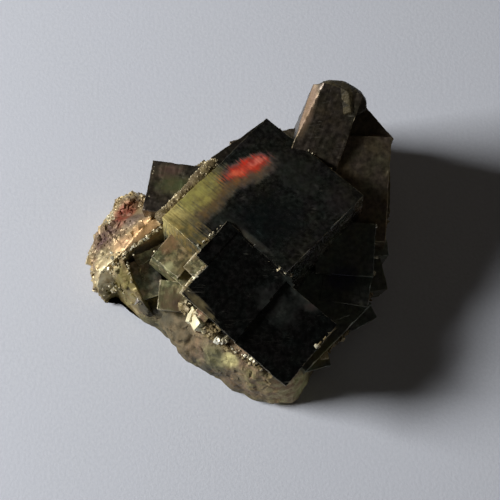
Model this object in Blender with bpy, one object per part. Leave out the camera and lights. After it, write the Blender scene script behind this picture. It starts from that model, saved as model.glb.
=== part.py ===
"""Specimen of metallic cubic crystals, grown through one another on a piece of pale granular rock.

crystal_cluster is every crystal that has grown together: a large main block, a stepped block in front of it,
a tall block and its shoulders at the right, a cube and a golden granular lobe at the left. matrix is the rock
that they grew on. It is the lower left flank and the flat underside.

Sizes are in millimetres, turned into metres when a mesh is made. +Z is up, +Y is the back, and the origin is
the middle of the flat underside.
"""

import math
import random
from collections import namedtuple

import bmesh
import bpy
from mathutils import Matrix, Vector, noise

MM = 0.001
GAP = 0.3  # clear space between the matrix and the crystals
CENTRE = Vector((-2.9, 0.0, 0.0))  # middle of the underside, in the frame that the tables below use
EDGE = 0.25  # width of the worn edge on a large crystal
SMALL_EDGE = 0.1
UNDERSIDE = 1.2  # no crystal reaches lower than this
GROUND = (90.0, 90.0, 20.0)  # the block that cuts the crystals off at that height

# A crystal is a block. size is along its own x and y, and down from its top face; top is the middle of that
# face. spin turns it about its own axis, then its axis leans by so many degrees towards the compass angle
# toward. slope, where given, cuts the top off on a slant, as (lean, toward). Nothing older stands on one that
# clears. A bevel is one more cut, as (through, lean, toward).
CRYSTAL_FIELDS = "name size top spin lean toward slope clears bevel"
Crystal = namedtuple("Crystal", CRYSTAL_FIELDS, defaults=(None, False, None))
TALL_BEVEL = ((11.7, 22.4, 29.4), 46, -173)

LARGE = (
    Crystal("main", (30.0, 25.5, 23.0), (2.6, 4.1, 26.7), 47.5, 8, 90),
    Crystal("crown", (14.0, 7.0, 20.0), (0.0, 16.5, 24.7), 39.5, 8, 90),
    Crystal("tall", (9.8, 20.5, 23.0), (13.5, 17.0, 25.8), -17, 7, -17, (34, -102), False, TALL_BEVEL),
    Crystal("tall_back", (6.5, 9.0, 12.0), (16.0, 23.6, 18.0), -22, 7, -22),
    Crystal("shoulder_back", (13.0, 13.0, 20.0), (19.1, 19.2, 24.0), -44, 4, 20, (30, -84)),
    Crystal("shoulder", (13.5, 18.5, 17.0), (20.6, 9.8, 21.0), -1, 3, -10, (28, -84)),
    Crystal("right", (11.5, 10.5, 14.0), (18.8, -1.9, 18.7), -3, 12, -80),
    Crystal("right_low", (9.5, 9.0, 12.0), (19.1, -7.7, 16.0), -8, 10, -80),
    Crystal("hollow", (11.0, 12.0, 11.0), (12.5, -10.5, 15.0), 20, 14, -100),
    Crystal("corner", (19.0, 8.5, 10.5), (14.5, -15.4, 13.2), 46, 8, -60),
    Crystal("left", (13.5, 11.0, 15.0), (-13.6, 9.9, 20.3), -10, 7, 120),
    Crystal("back", (11.0, 9.0, 15.0), (2.6, 18.3, 18.6), 20, 12, 70),
    Crystal("back_low", (8.0, 8.0, 9.0), (-7.0, 15.5, 12.5), 35, 15, 110),
    Crystal("back_right", (8.0, 7.0, 13.0), (21.0, 24.0, 15.0), -40, 14, 50),
    Crystal("shoulder_step", (6.0, 10.0, 11.0), (25.2, 12.4, 13.5), -1, 3, -10),
    Crystal("side", (6.0, 8.5, 9.0), (24.4, 3.0, 12.0), 8, 10, 0),
    Crystal("front", (9.0, 17.0, 19.0), (-1.0, -8.2, 26.1), 48, 14, -84, None, True),
    Crystal("front_wide", (15.8, 15.0, 18.0), (-2.3, -12.0, 24.95), 48, 14, -84, None, True),
    Crystal("front_low", (15.5, 13.0, 16.0), (6.9, -20.0, 21.4), 50, 16, -84, None, True),
)

# The smaller crystals between the front block and the golden lobe, those in the recess beside it, and ledges
# at the back and the right.
SMALL = (
    Crystal("step", (5.9, 6.6, 12.0), (-14.7, -4.4, 22.1), 51, 12, -60),
    Crystal("step_low", (5.8, 5.8, 10.0), (-15.0, -11.2, 17.3), -6, 15, -90),
    Crystal("step_foot", (5.5, 5.5, 8.0), (-12.4, -6.6, 18.8), 48, 12, -84),
    Crystal("front_notch", (4.2, 3.4, 8.0), (-10.2, -7.0, 24.2), 48, 12, -100),
    Crystal("front_ledge", (6.5, 2.2, 8.0), (-10.9, -10.2, 22.6), 50, 18, 180),
    Crystal("front_foot", (4.6, 13.0, 9.0), (-6.6, -14.9, 15.8), 48, 12, -120),
    Crystal("gold_block", (3.4, 3.0, 6.0), (-10.2, -16.6, 18.6), 30, 16, -140),
    Crystal("gold_ledge", (5.0, 3.0, 6.0), (-8.4, -14.6, 20.0), 50, 14, -120),
    Crystal("recess_upper", (7.5, 5.0, 9.0), (-20.2, 1.0, 11.5), 30, 18, -60),
    Crystal("recess_lower", (6.0, 8.0, 8.0), (-20.8, -5.2, 9.8), 20, 16, -30),
    Crystal("ledge_back", (9.0, 3.0, 9.0), (8.6, 21.0, 14.6), -40, 8, 80),
    Crystal("ledge_behind", (6.0, 5.0, 8.0), (9.0, 24.2, 11.0), 12, 10, 90),
    Crystal("ledge_left", (5.0, 6.0, 9.0), (-16.5, 14.4, 13.8), 22, 10, 130),
    Crystal("ledge_under", (4.5, 5.5, 7.0), (-19.4, 8.8, 12.2), -30, 12, 160),
    Crystal("ledge_right", (5.0, 7.0, 7.0), (24.4, -4.6, 10.6), 12, 12, -20),
    Crystal("ledge_corner", (6.0, 5.0, 6.0), (21.6, -12.8, 10.6), 30, 14, -40),
    Crystal("ledge_front", (5.5, 5.5, 6.0), (12.8, -21.2, 9.8), 15, 14, -60),
    Crystal("cap_ledge", (4.2, 2.4, 4.0), (19.4, 23.4, 32.0), -22, 12, -60),
)

# A facet goes through a point, and faces so many degrees from straight up, towards a compass angle. Small
# crystals grow on it unless it is bare. A lump is an egg shape, with its centre, radii and turn in degrees,
# cut flat by its facets. Its middle is a point inside them all.
Facet = namedtuple("Facet", "through lean toward bare", defaults=(False,))
Lump = namedtuple("Lump", "name middle centre radii turn subdivisions facets", defaults=((),))

LOBE_EGG = ((-21.6, 0.3, 4.6), (10.6, 12.2, 14.0), -12)
LOBE_LUMPS = (
    Lump("lobe_lower", (-27.0, -3.5, 5.0), *LOBE_EGG, 3, (
        Facet((-24.7, -6.2, 11.7), 40, -118, True),
        Facet((-26.2, -4.0, 12.7), 47, -170),
        Facet((-27.3, -5.4, 6.3), 82, -133),
        Facet((-23.2, -6.5, 12.0), 75, 20, True),
        Facet((-27.0, 1.0, 13.5), 30, 120),
    )),
    Lump("lobe_upper", (-25.0, 5.0, 6.0), *LOBE_EGG, 3, (
        Facet((-24.9, 1.9, 14.3), 38, 165),
        Facet((-29.5, 6.0, 7.5), 64, 150),
        Facet((-26.4, 9.0, 9.5), 50, 122, True),
        Facet((-20.9, 2.4, 16.5), 24, -102, True),
        Facet((-20.7, 1.4, 15.5), 75, -62, True),
    )),
    Lump("lobe_top", (-23.6, 8.8, 6.2), (-23.6, 8.8, 6.2), (4.8, 4.6, 6.6), 20, 2),
)
CAP = Lump("cap", (17.8, 26.0, 29.2), (17.8, 26.0, 29.2), (5.3, 2.8, 3.2), -22, 2)
ROUGH_WAVES = ((2.3, 0.06), (6.1, 0.04))  # each one's waves per radius, and how far it moves the surface
LOBE_CRYSTALS = 30  # how many each of the lobe's lumps is offered; bare facets take none
LOBE_SIDE = (80.0, 200.0)  # the lobe's open side: where it starts and how far round it goes, in degrees
LOBE_HEIGHTS = (-5.0, 75.0)  # lowest and highest of its small crystals, in degrees up from a lump's middle
LOBE_SIZES = (1.6, 3.2)
GOLDEN = 0.618  # spreads the small crystals round evenly
FAR = 99.0  # stands for a facet that a direction never meets
SUNK = 0.3  # share of a tiny crystal's height that stands out
LOOSE = 0.5  # how far a tiny crystal's axis may tip, as a slope

# Rows of tiny crystals along the lines where the large ones meet: first and last place, how many, and their
# size.
Row = namedtuple("Row", "first last count size")
ROWS = (
    Row((-7.8, 13.6, 24.6), (-16.6, 3.2, 26.0), 11, 1.7),
    Row((8.7, 18.6, 24.2), (16.8, 11.2, 25.4), 8, 1.1),
    Row((-9.6, -18.0, 18.0), (1.8, -25.6, 17.6), 12, 2.1),
    Row((-12.5, -13.5, 18.0), (-6.0, -19.0, 19.0), 6, 2.4),
    Row((13.0, 20.5, 15.0), (24.0, 22.0, 9.0), 6, 2.2),
    Row((-15.0, 15.5, 12.0), (-3.0, 16.5, 16.0), 7, 2.2),
    Row((23.0, -8.0, 8.5), (26.2, 8.0, 7.0), 7, 2.4),
    Row((12.0, -22.0, 9.5), (22.0, -11.5, 8.5), 6, 2.0),
    Row((14.0, 24.0, 12.0), (22.0, 26.5, 9.0), 5, 2.4),
)
STRAY = 0.35  # how far a crystal may lie off its row, as a share of its size

# The rock's outline on the ground, and how high it stands inside each of those points, going round from the
# left.
MATRIX_CENTRE = Vector((1.0, -3.0, 0.0))
MATRIX_OUTLINE = (
    (-22.6, -10.4, 7.5), (-19.4, -13.0, 9), (-15.2, -17.2, 12), (-10.6, -21.6, 15), (-6.2, -24.2, 17),
    (-1.8, -26.8, 18), (3.8, -29.2, 17), (8.6, -28.4, 15), (11.2, -25.0, 10), (13.6, -19.6, 7),
    (18.0, -12.6, 6), (20.0, -5.0, 6), (21.0, 4.0, 6), (20.0, 13.0, 6), (14.5, 18.5, 6), (6.0, 18.5, 5),
    (-1.5, 17.0, 5), (-9.0, 13.0, 5), (-15.0, 10.5, 5), (-20.0, 7.0, 5), (-23.6, 1.5, 5), (-24.4, -5.0, 7),
)
MATRIX_MIDDLE = 7.0  # how high the rock stands under the crystals
# Each ring of the rock's side and top: how far in from the outline in mm, and how far up in shares of its
# height.
MATRIX_RINGS = (
    (0.9, 0.0), (0.2, 0.07), (0.0, 0.17), (0.1, 0.29), (0.3, 0.41), (0.7, 0.53), (1.2, 0.65), (1.9, 0.77),
    (2.7, 0.88), (3.8, 0.96), (5.6, 1.0), (8.5, 0.92),
)
MATRIX_CREST = 5.0  # a ring further in than this faces the middle
AROUND = 80  # points in each ring
LUMPS = ((0.28, 0.8), (1.1, 0.28))  # each one's waves per mm, and how far it moves the rock's side in mm
SWELL = (0.4, 0.5)  # the same for its height
SWELL_OFFSET = Vector((9, 4, 2))
BELOW = 3.0  # how far the space cut for the rock reaches under the ground


def clear_scene():
    for obj in list(bpy.data.objects):
        bpy.data.objects.remove(obj, do_unlink=True)


def finish(name, color, roughness, metallic):
    material = bpy.data.materials.new(name)
    material.use_nodes = True
    shader = material.node_tree.nodes["Principled BSDF"]
    shader.inputs["Base Color"].default_value = (*color, 1.0)
    shader.inputs["Roughness"].default_value = roughness
    shader.inputs["Metallic"].default_value = metallic
    return material


def leaning(lean, toward):
    """The turn that tips +Z by lean degrees towards the compass angle toward."""
    toward = math.radians(toward)
    return Matrix.Rotation(math.radians(lean), 3, Vector((-math.sin(toward), math.cos(toward), 0)))


def as_object(name, shape, helper=True):
    """An object holding the bmesh, which is in millimetres and in the frame of the tables."""
    shape.transform(Matrix.Scale(MM, 4) @ Matrix.Translation(-CENTRE))
    mesh = bpy.data.meshes.new(name)
    shape.to_mesh(mesh)
    shape.free()
    obj = bpy.data.objects.new(name, mesh)
    bpy.context.scene.collection.objects.link(obj)
    if helper:
        obj.hide_render = True
        obj.display_type = "WIRE"
    return obj


def fuse(target, other, operation):
    """Joins other to target, or cuts it away, for good."""
    modifier = target.modifiers.new(operation.lower(), "BOOLEAN")
    modifier.operation = operation
    modifier.object = other
    modifier.solver = "EXACT"
    graph = bpy.context.evaluated_depsgraph_get()
    mesh = bpy.data.meshes.new_from_object(target.evaluated_get(graph))
    target.modifiers.clear()
    old = target.data
    target.data = mesh
    bpy.data.meshes.remove(old)
    bpy.data.objects.remove(other, do_unlink=True)


def fill_hollows(target):
    """Fills the hollows that crystals close off between them: every surface of target but the largest
    goes."""
    shape = bmesh.new()
    shape.from_mesh(target.data)
    left = set(shape.faces)
    surfaces = []
    while left:
        surface = []
        rim = [left.pop()]
        while rim:
            face = rim.pop()
            surface.append(face)
            near = {other for side in face.edges for other in side.link_faces} & left
            left -= near
            rim.extend(near)
        surfaces.append(surface)
    surfaces.sort(key=len)
    bmesh.ops.delete(shape, geom=[face for surface in surfaces[:-1] for face in surface], context="FACES")
    shape.to_mesh(target.data)
    shape.free()


def block(size, top, turn, edge=0.0, up=0.0):
    """A block with worn edges, whose top face has its middle at top, or stands up above it."""
    shape = bmesh.new()
    bmesh.ops.create_cube(shape, size=1.0)
    bmesh.ops.scale(shape, vec=size, verts=shape.verts)
    bmesh.ops.translate(shape, vec=(0, 0, up - size[2] / 2), verts=shape.verts)
    if edge:
        bmesh.ops.bevel(
            shape, geom=list(shape.edges), offset=edge, segments=1, affect="EDGES", clamp_overlap=True
        )
    bmesh.ops.transform(shape, matrix=Matrix.Translation(top) @ turn.to_4x4(), verts=shape.verts)
    return shape


def turn_of(crystal):
    return leaning(crystal.lean, crystal.toward) @ Matrix.Rotation(math.radians(crystal.spin), 3, "Z")


def crystal_shape(crystal, edge):
    """The crystal as a block, cut by its slope and its bevel where it has them."""
    if crystal.slope is None:
        return block(crystal.size, crystal.top, turn_of(crystal), edge)
    width, length, depth = crystal.size
    shape = block((width, length, depth + length), crystal.top, turn_of(crystal), edge, up=length)
    cuts = [(crystal.top, *crystal.slope)]
    if crystal.bevel:
        cuts.append(crystal.bevel)
    for through, *facing in cuts:
        slanted = leaning(*facing) @ Vector((0, 0, 1))
        everything = list(shape.verts) + list(shape.edges) + list(shape.faces)
        bmesh.ops.bisect_plane(shape, geom=everything, plane_co=through, plane_no=slanted, clear_outer=True)
        rim = [side for side in shape.edges if side.is_boundary]
        bmesh.ops.holes_fill(shape, edges=rim, sides=0)
    return shape


def space_above(crystal):
    """The block that would stand on this crystal's top face, which its growth has kept clear."""
    width, length, depth = crystal.size
    inside = (width - SMALL_EDGE, length - SMALL_EDGE, depth)
    return block(inside, crystal.top, turn_of(crystal), up=depth)


def lump_reach(lump, outward):
    """(distance, bare): how far the lump's surface is from its middle this way, and whether it is bare there.
    It is the egg shape's distance, or a facet's where that is nearer."""
    square = Matrix.Rotation(math.radians(-lump.turn), 3, "Z")
    scaled = Matrix.Diagonal([1 / radius for radius in lump.radii]) @ square
    start = scaled @ (Vector(lump.middle) - Vector(lump.centre))
    step = scaled @ outward
    cross = step.dot(start)
    root = math.sqrt(cross**2 + step.length_squared * (1 - start.length_squared))
    found = [((root - cross) / step.length_squared, False)]
    for facet in lump.facets:
        facing = leaning(facet.lean, facet.toward) @ Vector((0, 0, 1))
        closing = outward.dot(facing)
        away = (Vector(facet.through) - Vector(lump.middle)).dot(facing)
        found.append((away / closing if closing > away / FAR else FAR, facet.bare))
    return min(found)


def lump_shape(lump):
    """The lump as a ball whose every point is moved out to its surface, and a little in or out of it."""
    shape = bmesh.new()
    bmesh.ops.create_icosphere(shape, subdivisions=lump.subdivisions, radius=1.0)
    for vert in shape.verts:
        outward = vert.co.normalized()
        rough = 1.0
        for waves, height in ROUGH_WAVES:
            rough += height * noise.noise(outward * waves)
        vert.co = Vector(lump.middle) + outward * lump_reach(lump, outward)[0] * rough
    return shape


def tiny_crystal(dice, spot, outward, size):
    """A small block sunk at spot, with its top face turned roughly outward."""
    turn = outward.to_track_quat("Z", "Y").to_matrix() @ Matrix.Rotation(dice.uniform(0, math.tau), 3, "Z")
    sides = [size * dice.uniform(0.75, 1.25) for _ in range(3)]
    return block(sides, spot + outward * sides[2] * SUNK, turn)


def lobe_crystals(dice):
    """Small blocks all over the open side of the lobe, apart from its bare facets."""
    start, span = LOBE_SIDE
    for lump in LOBE_LUMPS:
        for index in range(LOBE_CRYSTALS):
            around = math.radians(start + span * (index * GOLDEN % 1))
            up = math.radians(dice.uniform(*LOBE_HEIGHTS))
            outward = Vector((math.cos(around) * math.cos(up), math.sin(around) * math.cos(up), math.sin(up)))
            tilt = Vector([dice.uniform(-LOOSE, LOOSE) for _ in range(3)])
            size = dice.uniform(*LOBE_SIZES)
            distance, bare = lump_reach(lump, outward)
            if not bare:
                spot = Vector(lump.middle) + outward * distance
                yield tiny_crystal(dice, spot, (outward + tilt).normalized(), size)


def row_crystals(dice):
    """Small blocks along each of the rows."""
    for row in ROWS:
        for index in range(row.count):
            spot = Vector(row.first).lerp(Vector(row.last), index / (row.count - 1))
            spot += Vector([dice.uniform(-STRAY, STRAY) * row.size for _ in range(3)])
            tilt = Vector((dice.uniform(-LOOSE, LOOSE), dice.uniform(-LOOSE, LOOSE), 1))
            yield tiny_crystal(dice, spot, tilt.normalized(), row.size * dice.uniform(0.8, 1.3))


def matrix_outline():
    """The outline as (angle, radius, height) about the rock's middle, in order, with each end repeated."""
    polar = []
    for x, y, height in MATRIX_OUTLINE:
        out = Vector((x, y, 0)) - MATRIX_CENTRE
        polar.append((math.atan2(out.y, out.x), out.length, height))
    polar.sort()
    before = (polar[-1][0] - math.tau, *polar[-1][1:])
    after = (polar[0][0] + math.tau, *polar[0][1:])
    return [before, *polar, after]


def between(polar, angle):
    """The outline's radius and height at this angle."""
    after = next(index for index, point in enumerate(polar) if point[0] > angle)
    (angle_a, radius_a, height_a), (angle_b, radius_b, height_b) = polar[after - 1], polar[after]
    share = (angle - angle_a) / (angle_b - angle_a)
    return radius_a + (radius_b - radius_a) * share, height_a + (height_b - height_a) * share


def matrix_ring(shape, polar, inset, up, grow):
    """One ring of points round the rock, this far in from its outline and this share of its height up."""
    ring = []
    for step in range(AROUND):
        angle = -math.pi + math.tau * step / AROUND
        radius, height = between(polar, angle)
        out = Vector((math.cos(angle), math.sin(angle), 0))
        spot = MATRIX_CENTRE + out * (radius - inset) + Vector((0, 0, height * up))
        aside = grow if inset < MATRIX_CREST else -grow
        aside += sum(size * noise.noise(spot * waves) for waves, size in LUMPS)
        if up:
            rise = grow + SWELL[1] * noise.noise(spot * SWELL[0] + SWELL_OFFSET)
        else:
            rise = -BELOW if grow else 0.0
        ring.append(shape.verts.new(spot + out * aside + Vector((0, 0, rise))))
    return ring


def matrix_shape(grow):
    """The rock as rings of points about its middle, closed by a flat underside and a cap. grow swells it."""
    polar = matrix_outline()
    shape = bmesh.new()
    rings = [matrix_ring(shape, polar, inset, up, grow) for inset, up in MATRIX_RINGS]
    middle = shape.verts.new(MATRIX_CENTRE + Vector((0, 0, MATRIX_MIDDLE + grow)))
    for step in range(AROUND):
        after = (step + 1) % AROUND
        for low, high in zip(rings, rings[1:]):
            shape.faces.new((low[step], low[after], high[after], high[step]))
        shape.faces.new((rings[-1][step], rings[-1][after], middle))
    shape.faces.new(list(reversed(rings[0])))
    return shape


def build():
    clear_scene()
    cluster = as_object("crystal_cluster", crystal_shape(LARGE[0], EDGE), helper=False)
    for lump in (*LOBE_LUMPS, CAP):
        fuse(cluster, as_object(lump.name, lump_shape(lump)), "UNION")
    for crystal in LARGE[1:]:
        if crystal.clears:
            fuse(cluster, as_object("space", space_above(crystal)), "DIFFERENCE")
        fuse(cluster, as_object(crystal.name, crystal_shape(crystal, EDGE)), "UNION")
    for crystal in SMALL:
        fuse(cluster, as_object(crystal.name, crystal_shape(crystal, SMALL_EDGE)), "UNION")
    dice = random.Random(7)
    for shape in [*lobe_crystals(dice), *row_crystals(dice)]:
        fuse(cluster, as_object("tiny", shape), "UNION")
    ground = block(GROUND, Vector((0, 0, UNDERSIDE)), Matrix.Identity(3))
    fuse(cluster, as_object("ground", ground), "DIFFERENCE")
    fuse(cluster, as_object("matrix_space", matrix_shape(GAP)), "DIFFERENCE")
    fill_hollows(cluster)
    cluster.data.materials.append(finish("dark_bronze", (0.06, 0.05, 0.035), 0.25, 1.0))
    matrix = as_object("matrix", matrix_shape(0.0), helper=False)
    matrix.data.materials.append(finish("pale_rock", (0.42, 0.35, 0.2), 0.8, 0.0))


build()
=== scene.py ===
"""Looks of a mineral specimen: dark metallic cubic crystals grown through one another on pale granular rock.

Places and sizes are in millimetres in one frame, "the tables' frame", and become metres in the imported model's
frame when a mesh is made. +Z is up and +Y is the back. A surface is (points, quads, triangles, face, tone).
For each point, face holds how far it lies along and across the growth lines and how far from the nearest
edge, and tone is a number in 0..1 that varies its colour.
"""

import math
from collections import namedtuple

import bpy
import numpy as np
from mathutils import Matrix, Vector


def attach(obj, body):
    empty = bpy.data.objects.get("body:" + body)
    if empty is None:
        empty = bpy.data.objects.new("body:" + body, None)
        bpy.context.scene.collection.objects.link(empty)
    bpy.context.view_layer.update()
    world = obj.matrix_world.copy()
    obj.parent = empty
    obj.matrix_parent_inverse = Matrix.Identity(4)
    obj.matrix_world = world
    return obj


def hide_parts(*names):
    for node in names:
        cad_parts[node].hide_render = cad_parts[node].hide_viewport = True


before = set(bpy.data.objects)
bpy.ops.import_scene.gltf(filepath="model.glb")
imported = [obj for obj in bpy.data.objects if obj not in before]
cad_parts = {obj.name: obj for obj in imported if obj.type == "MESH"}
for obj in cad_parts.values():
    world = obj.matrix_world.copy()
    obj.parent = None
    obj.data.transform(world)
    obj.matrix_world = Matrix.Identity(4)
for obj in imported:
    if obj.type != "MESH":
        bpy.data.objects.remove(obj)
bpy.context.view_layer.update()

MM = 0.001
CENTRE = np.array((-2.9, 0.0, 0.0))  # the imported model's origin, in the tables' frame
UNDERSIDE = 1.2  # no crystal reaches lower than this
FLOOR = -0.02
TINY = 1e-9

# ---- Numbers that look random, and the same ones each run ----

PRIMES = (73856093, 19349663, 83492791, 2654435761)
LOW_BITS = 0xFFFFFFFF
CORNERS = np.indices((2, 2, 2)).reshape(3, -1).T
NEIGHBOURS = np.indices((3, 3, 3)).reshape(3, -1).T - 1
CHIP_RAISE, CHIP_TILT = 0.6, 1.4


def hashed(cells, seed=0):
    """A number in 0..1 for each row of three whole numbers: primes weight them, and the bits are mixed."""
    cells = np.asarray(cells).astype(np.int64)
    first, second, third = (cells[..., axis] * PRIMES[axis] for axis in range(3))
    bits = (first ^ second ^ third ^ seed * PRIMES[3]) & LOW_BITS
    for shift, factor in ((16, 0x7FEB352D), (15, 0x846CA68B)):
        bits = ((bits ^ (bits >> shift)) * factor) & LOW_BITS
    return (bits ^ (bits >> 16)) / LOW_BITS


def hashed_three(cells, seed, step=1):
    """Three such numbers for each row."""
    return np.stack([hashed(cells, seed + step * axis) for axis in range(3)], axis=-1)


def smooth_noise(points, seed=0):
    """Noise in -1..1: a random number at each corner of a unit grid, and a smooth step from one to
    another."""
    cell = np.floor(points)
    part = points - cell
    part = part * part * (3 - 2 * part)
    total = 0.0
    for corner in CORNERS:
        weight = np.prod(np.where(corner, part, 1 - part), axis=-1)
        total = total + weight * hashed(cell + corner, seed)
    return 2 * total - 1


def layered_noise(points, octaves, seed=0):
    """Smooth noise added to itself, each time twice as fine and half as high."""
    return sum(smooth_noise(points * 2**i, seed + i) / 2**i for i in range(octaves))


def cell_noise(points, seed=0):
    """Each point's offset from the nearest of random spots, one in each unit cell, and that spot's cell."""
    base = np.floor(points)
    offset = np.zeros_like(points)
    own = base.copy()
    nearest = np.full(points.shape[:-1], np.inf)
    for step in NEIGHBOURS:
        cell = base + step
        away = points - cell - hashed_three(cell, seed, 11)
        far = np.linalg.norm(away, axis=-1)
        closer = (far < nearest)[..., None]
        offset = np.where(closer, away, offset)
        own = np.where(closer, cell, own)
        nearest = np.minimum(nearest, far)
    return offset, own


def chips(points, seed=0):
    """(height, number): a surface of flat chips. Each point belongs to the nearest random spot, and lies on a
    plane through that spot, raised by a random number and tilted at random."""
    offset, own = cell_noise(points, seed)
    number = hashed(own, seed + 51)
    tilt = hashed_three(own, seed + 61) - 0.5
    return CHIP_RAISE * (number - 0.5) + CHIP_TILT * (tilt * offset).sum(axis=-1), number


def chip_layers(points, layers, seed=0):
    """(height, numbers): chips of several sizes one on another. Each layer is its share of the height, the
    size of its chips and what it adds to the seed. numbers holds each layer's random numbers."""
    heights, numbers = zip(*(chips(points / size, seed + more) for _, size, more in layers))
    return sum(share * height for (share, *_), height in zip(layers, heights)), numbers


def spots_of(along, across, side):
    """The three coordinates as one array of points."""
    return np.stack(np.broadcast_arrays(along, across, side), axis=-1)


def length_of(vectors):
    """Each vector's length, kept as a column."""
    return np.linalg.norm(vectors, axis=-1, keepdims=True)


# ---- Crystals ----

# size is along the crystal's own x and y, and down from its top face; top is the middle of that face. spin
# turns it about its own axis, then its axis leans by so many degrees towards the compass angle toward. slope
# cuts the top off on a slant, as (lean, toward), and a bevel is one more cut, as (through, lean, toward).
Crystal = namedtuple("Crystal", "size top spin lean toward slope bevel", defaults=(None, None))
TALL_BEVEL = ((11.7, 22.4, 29.4), 46, -173)

# How a crystal's faces have grown and worn: how high its long growth ledges and its raised rectangular plates
# are, how deep its pits are, how far a face bulges, the radius of its worn edges, and how much more than that
# has broken off where an edge is chipped.
Relief = namedtuple("Relief", "ledge plate pit bulge worn chip")
SMOOTH = Relief(0.02, 0.03, 0.04, 0.10, 0.08, 0.40)
STEPPED = Relief(0.04, 0.05, 0.05, 0.10, 0.09, 0.55)
ROUGH = Relief(0.08, 0.08, 0.08, 0.12, 0.10, 0.80)
WALL = Relief(0.05, 0.06, 0.06, 0.12, 0.10, 0.45)

# A piece: the space between its grid lines, the finish of its top faces, its material and its crystals.
Group = namedtuple("Group", "spacing tops material crystals")
GROUPS = {
    "main_block": Group(0.235, SMOOTH, "mirror_faces", {
        "main": Crystal((30, 25.5, 23), (2.6, 4.1, 26.7), 47.5, 8, 90),
    }),
    "crown_block": Group(0.26, STEPPED, "tall_faces", {
        "crown": Crystal((14, 7, 20), (0, 16.5, 24.7), 39.5, 8, 90),
    }),
    "front_blocks": Group(0.275, SMOOTH, "black_tarnish_and_reflection_faces", {
        "front": Crystal((9, 17, 19), (-1, -8.2, 26.1), 48, 14, -84),
        "front_wide": Crystal((15.8, 15, 18), (-2.3, -12, 24.95), 48, 14, -84),
        "front_low": Crystal((15.5, 13, 16), (6.9, -20, 21.4), 50, 16, -84),
    }),
    "tall_block": Group(0.27, STEPPED, "tall_faces", {
        "tall": Crystal((9.8, 20.5, 23), (13.5, 17, 25.8), -17, 7, -17, (34, -102), TALL_BEVEL),
        "tall_back": Crystal((6.5, 9, 12), (16, 23.6, 18), -22, 7, -22),
    }),
    "shoulder_blocks": Group(0.32, STEPPED, "olive_faces", {
        "shoulder_back": Crystal((13, 13, 20), (19.1, 19.2, 24), -44, 4, 20, (30, -84)),
        "shoulder": Crystal((13.5, 18.5, 17), (20.6, 9.8, 21), -1, 3, -10, (28, -84)),
        "shoulder_step": Crystal((6, 10, 11), (25.2, 12.4, 13.5), -1, 3, -10),
    }),
    "right_blocks": Group(0.32, STEPPED, "dark_faces", {
        "right": Crystal((11.5, 10.5, 14), (18.8, -1.9, 18.7), -3, 12, -80),
        "right_low": Crystal((9.5, 9, 12), (19.1, -7.7, 16), -8, 10, -80),
        "hollow": Crystal((11, 12, 11), (12.5, -10.5, 15), 20, 14, -100),
        "side": Crystal((6, 8.5, 9), (24.4, 3, 12), 8, 10, 0),
        "ledge_right": Crystal((5, 7, 7), (24.4, -4.6, 10.6), 12, 12, -20),
    }),
    "corner_blocks": Group(0.3, STEPPED, "dark_faces", {
        "corner": Crystal((19, 8.5, 10.5), (14.5, -15.4, 13.2), 46, 8, -60),
        "ledge_corner": Crystal((6, 5, 6), (21.6, -12.8, 10.6), 30, 14, -40),
        "ledge_front": Crystal((5.5, 5.5, 6), (12.8, -21.2, 9.8), 15, 14, -60),
    }),
    "left_block": Group(0.24, STEPPED, "tall_faces", {
        "left": Crystal((13.5, 11, 15), (-13.6, 9.9, 20.3), -10, 7, 120),
    }),
    "back_blocks": Group(0.32, ROUGH, "olive_faces", {
        "back": Crystal((11, 9, 15), (2.6, 18.3, 18.6), 20, 12, 70),
        "back_low": Crystal((8, 8, 9), (-7, 15.5, 12.5), 35, 15, 110),
        "back_right": Crystal((8, 7, 13), (21, 24, 15), -40, 14, 50),
        "ledge_back": Crystal((9, 3, 9), (8.6, 21, 14.6), -40, 8, 80),
        "ledge_behind": Crystal((6, 5, 8), (9, 24.2, 11), 12, 10, 90),
        "ledge_left": Crystal((5, 6, 9), (-16.5, 14.4, 13.8), 22, 10, 130),
        "ledge_under": Crystal((4.5, 5.5, 7), (-19.4, 8.8, 12.2), -30, 12, 160),
    }),
    "step_blocks": Group(0.17, STEPPED, "tan_faces", {
        "step": Crystal((5.9, 6.6, 12), (-14.7, -4.4, 22.1), 51, 12, -60),
        "step_low": Crystal((5.8, 5.8, 10), (-15, -11.2, 17.3), -6, 15, -90),
        "step_foot": Crystal((5.5, 5.5, 8), (-12.4, -6.6, 18.8), 48, 12, -84),
        "front_notch": Crystal((4.2, 3.4, 8), (-10.2, -7, 24.2), 48, 12, -100),
        "front_ledge": Crystal((6.5, 2.2, 8), (-10.9, -10.2, 22.6), 50, 18, 180),
    }),
    "gold_blocks": Group(0.2, ROUGH, "brassy_faces", {
        "front_foot": Crystal((4.6, 13, 9), (-6.6, -14.9, 15.8), 48, 12, -120),
        "gold_block": Crystal((3.4, 3, 6), (-10.2, -16.6, 18.6), 30, 16, -140),
        "gold_ledge": Crystal((5, 3, 6), (-8.4, -14.6, 20), 50, 14, -120),
    }),
    "recess_blocks": Group(0.22, STEPPED, "recess_faces", {
        "recess_upper": Crystal((7.5, 5, 9), (-20.2, 1, 11.5), 30, 18, -60),
        "recess_lower": Crystal((6, 8, 8), (-20.8, -5.2, 9.8), 20, 16, -30),
    }),
}
CLEAR = GROUPS["front_blocks"].crystals  # no other block stands up through their top faces
SINK = 0.5  # how far below such a face the cut blocks end
CUT_MARGIN = 0.1  # and how far inside its outline
CRYSTAL_SEED = 100
EDGE_BAND = 0.8  # how far from an edge the grid lines draw closer together
EDGE_LINES = 6
UPRIGHT_STRETCH = 1.6  # the grid lines are this much further apart down a crystal's sides
FADE = 14  # the power by which a face's relief fades where its crystal's other faces begin
BREAK_WAVES = (0.55, 1.7)  # per millimetre, of the two noises that chip the edges
BREAK_FROM = 0.25
BULGE_WIDTH = 9
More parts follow.
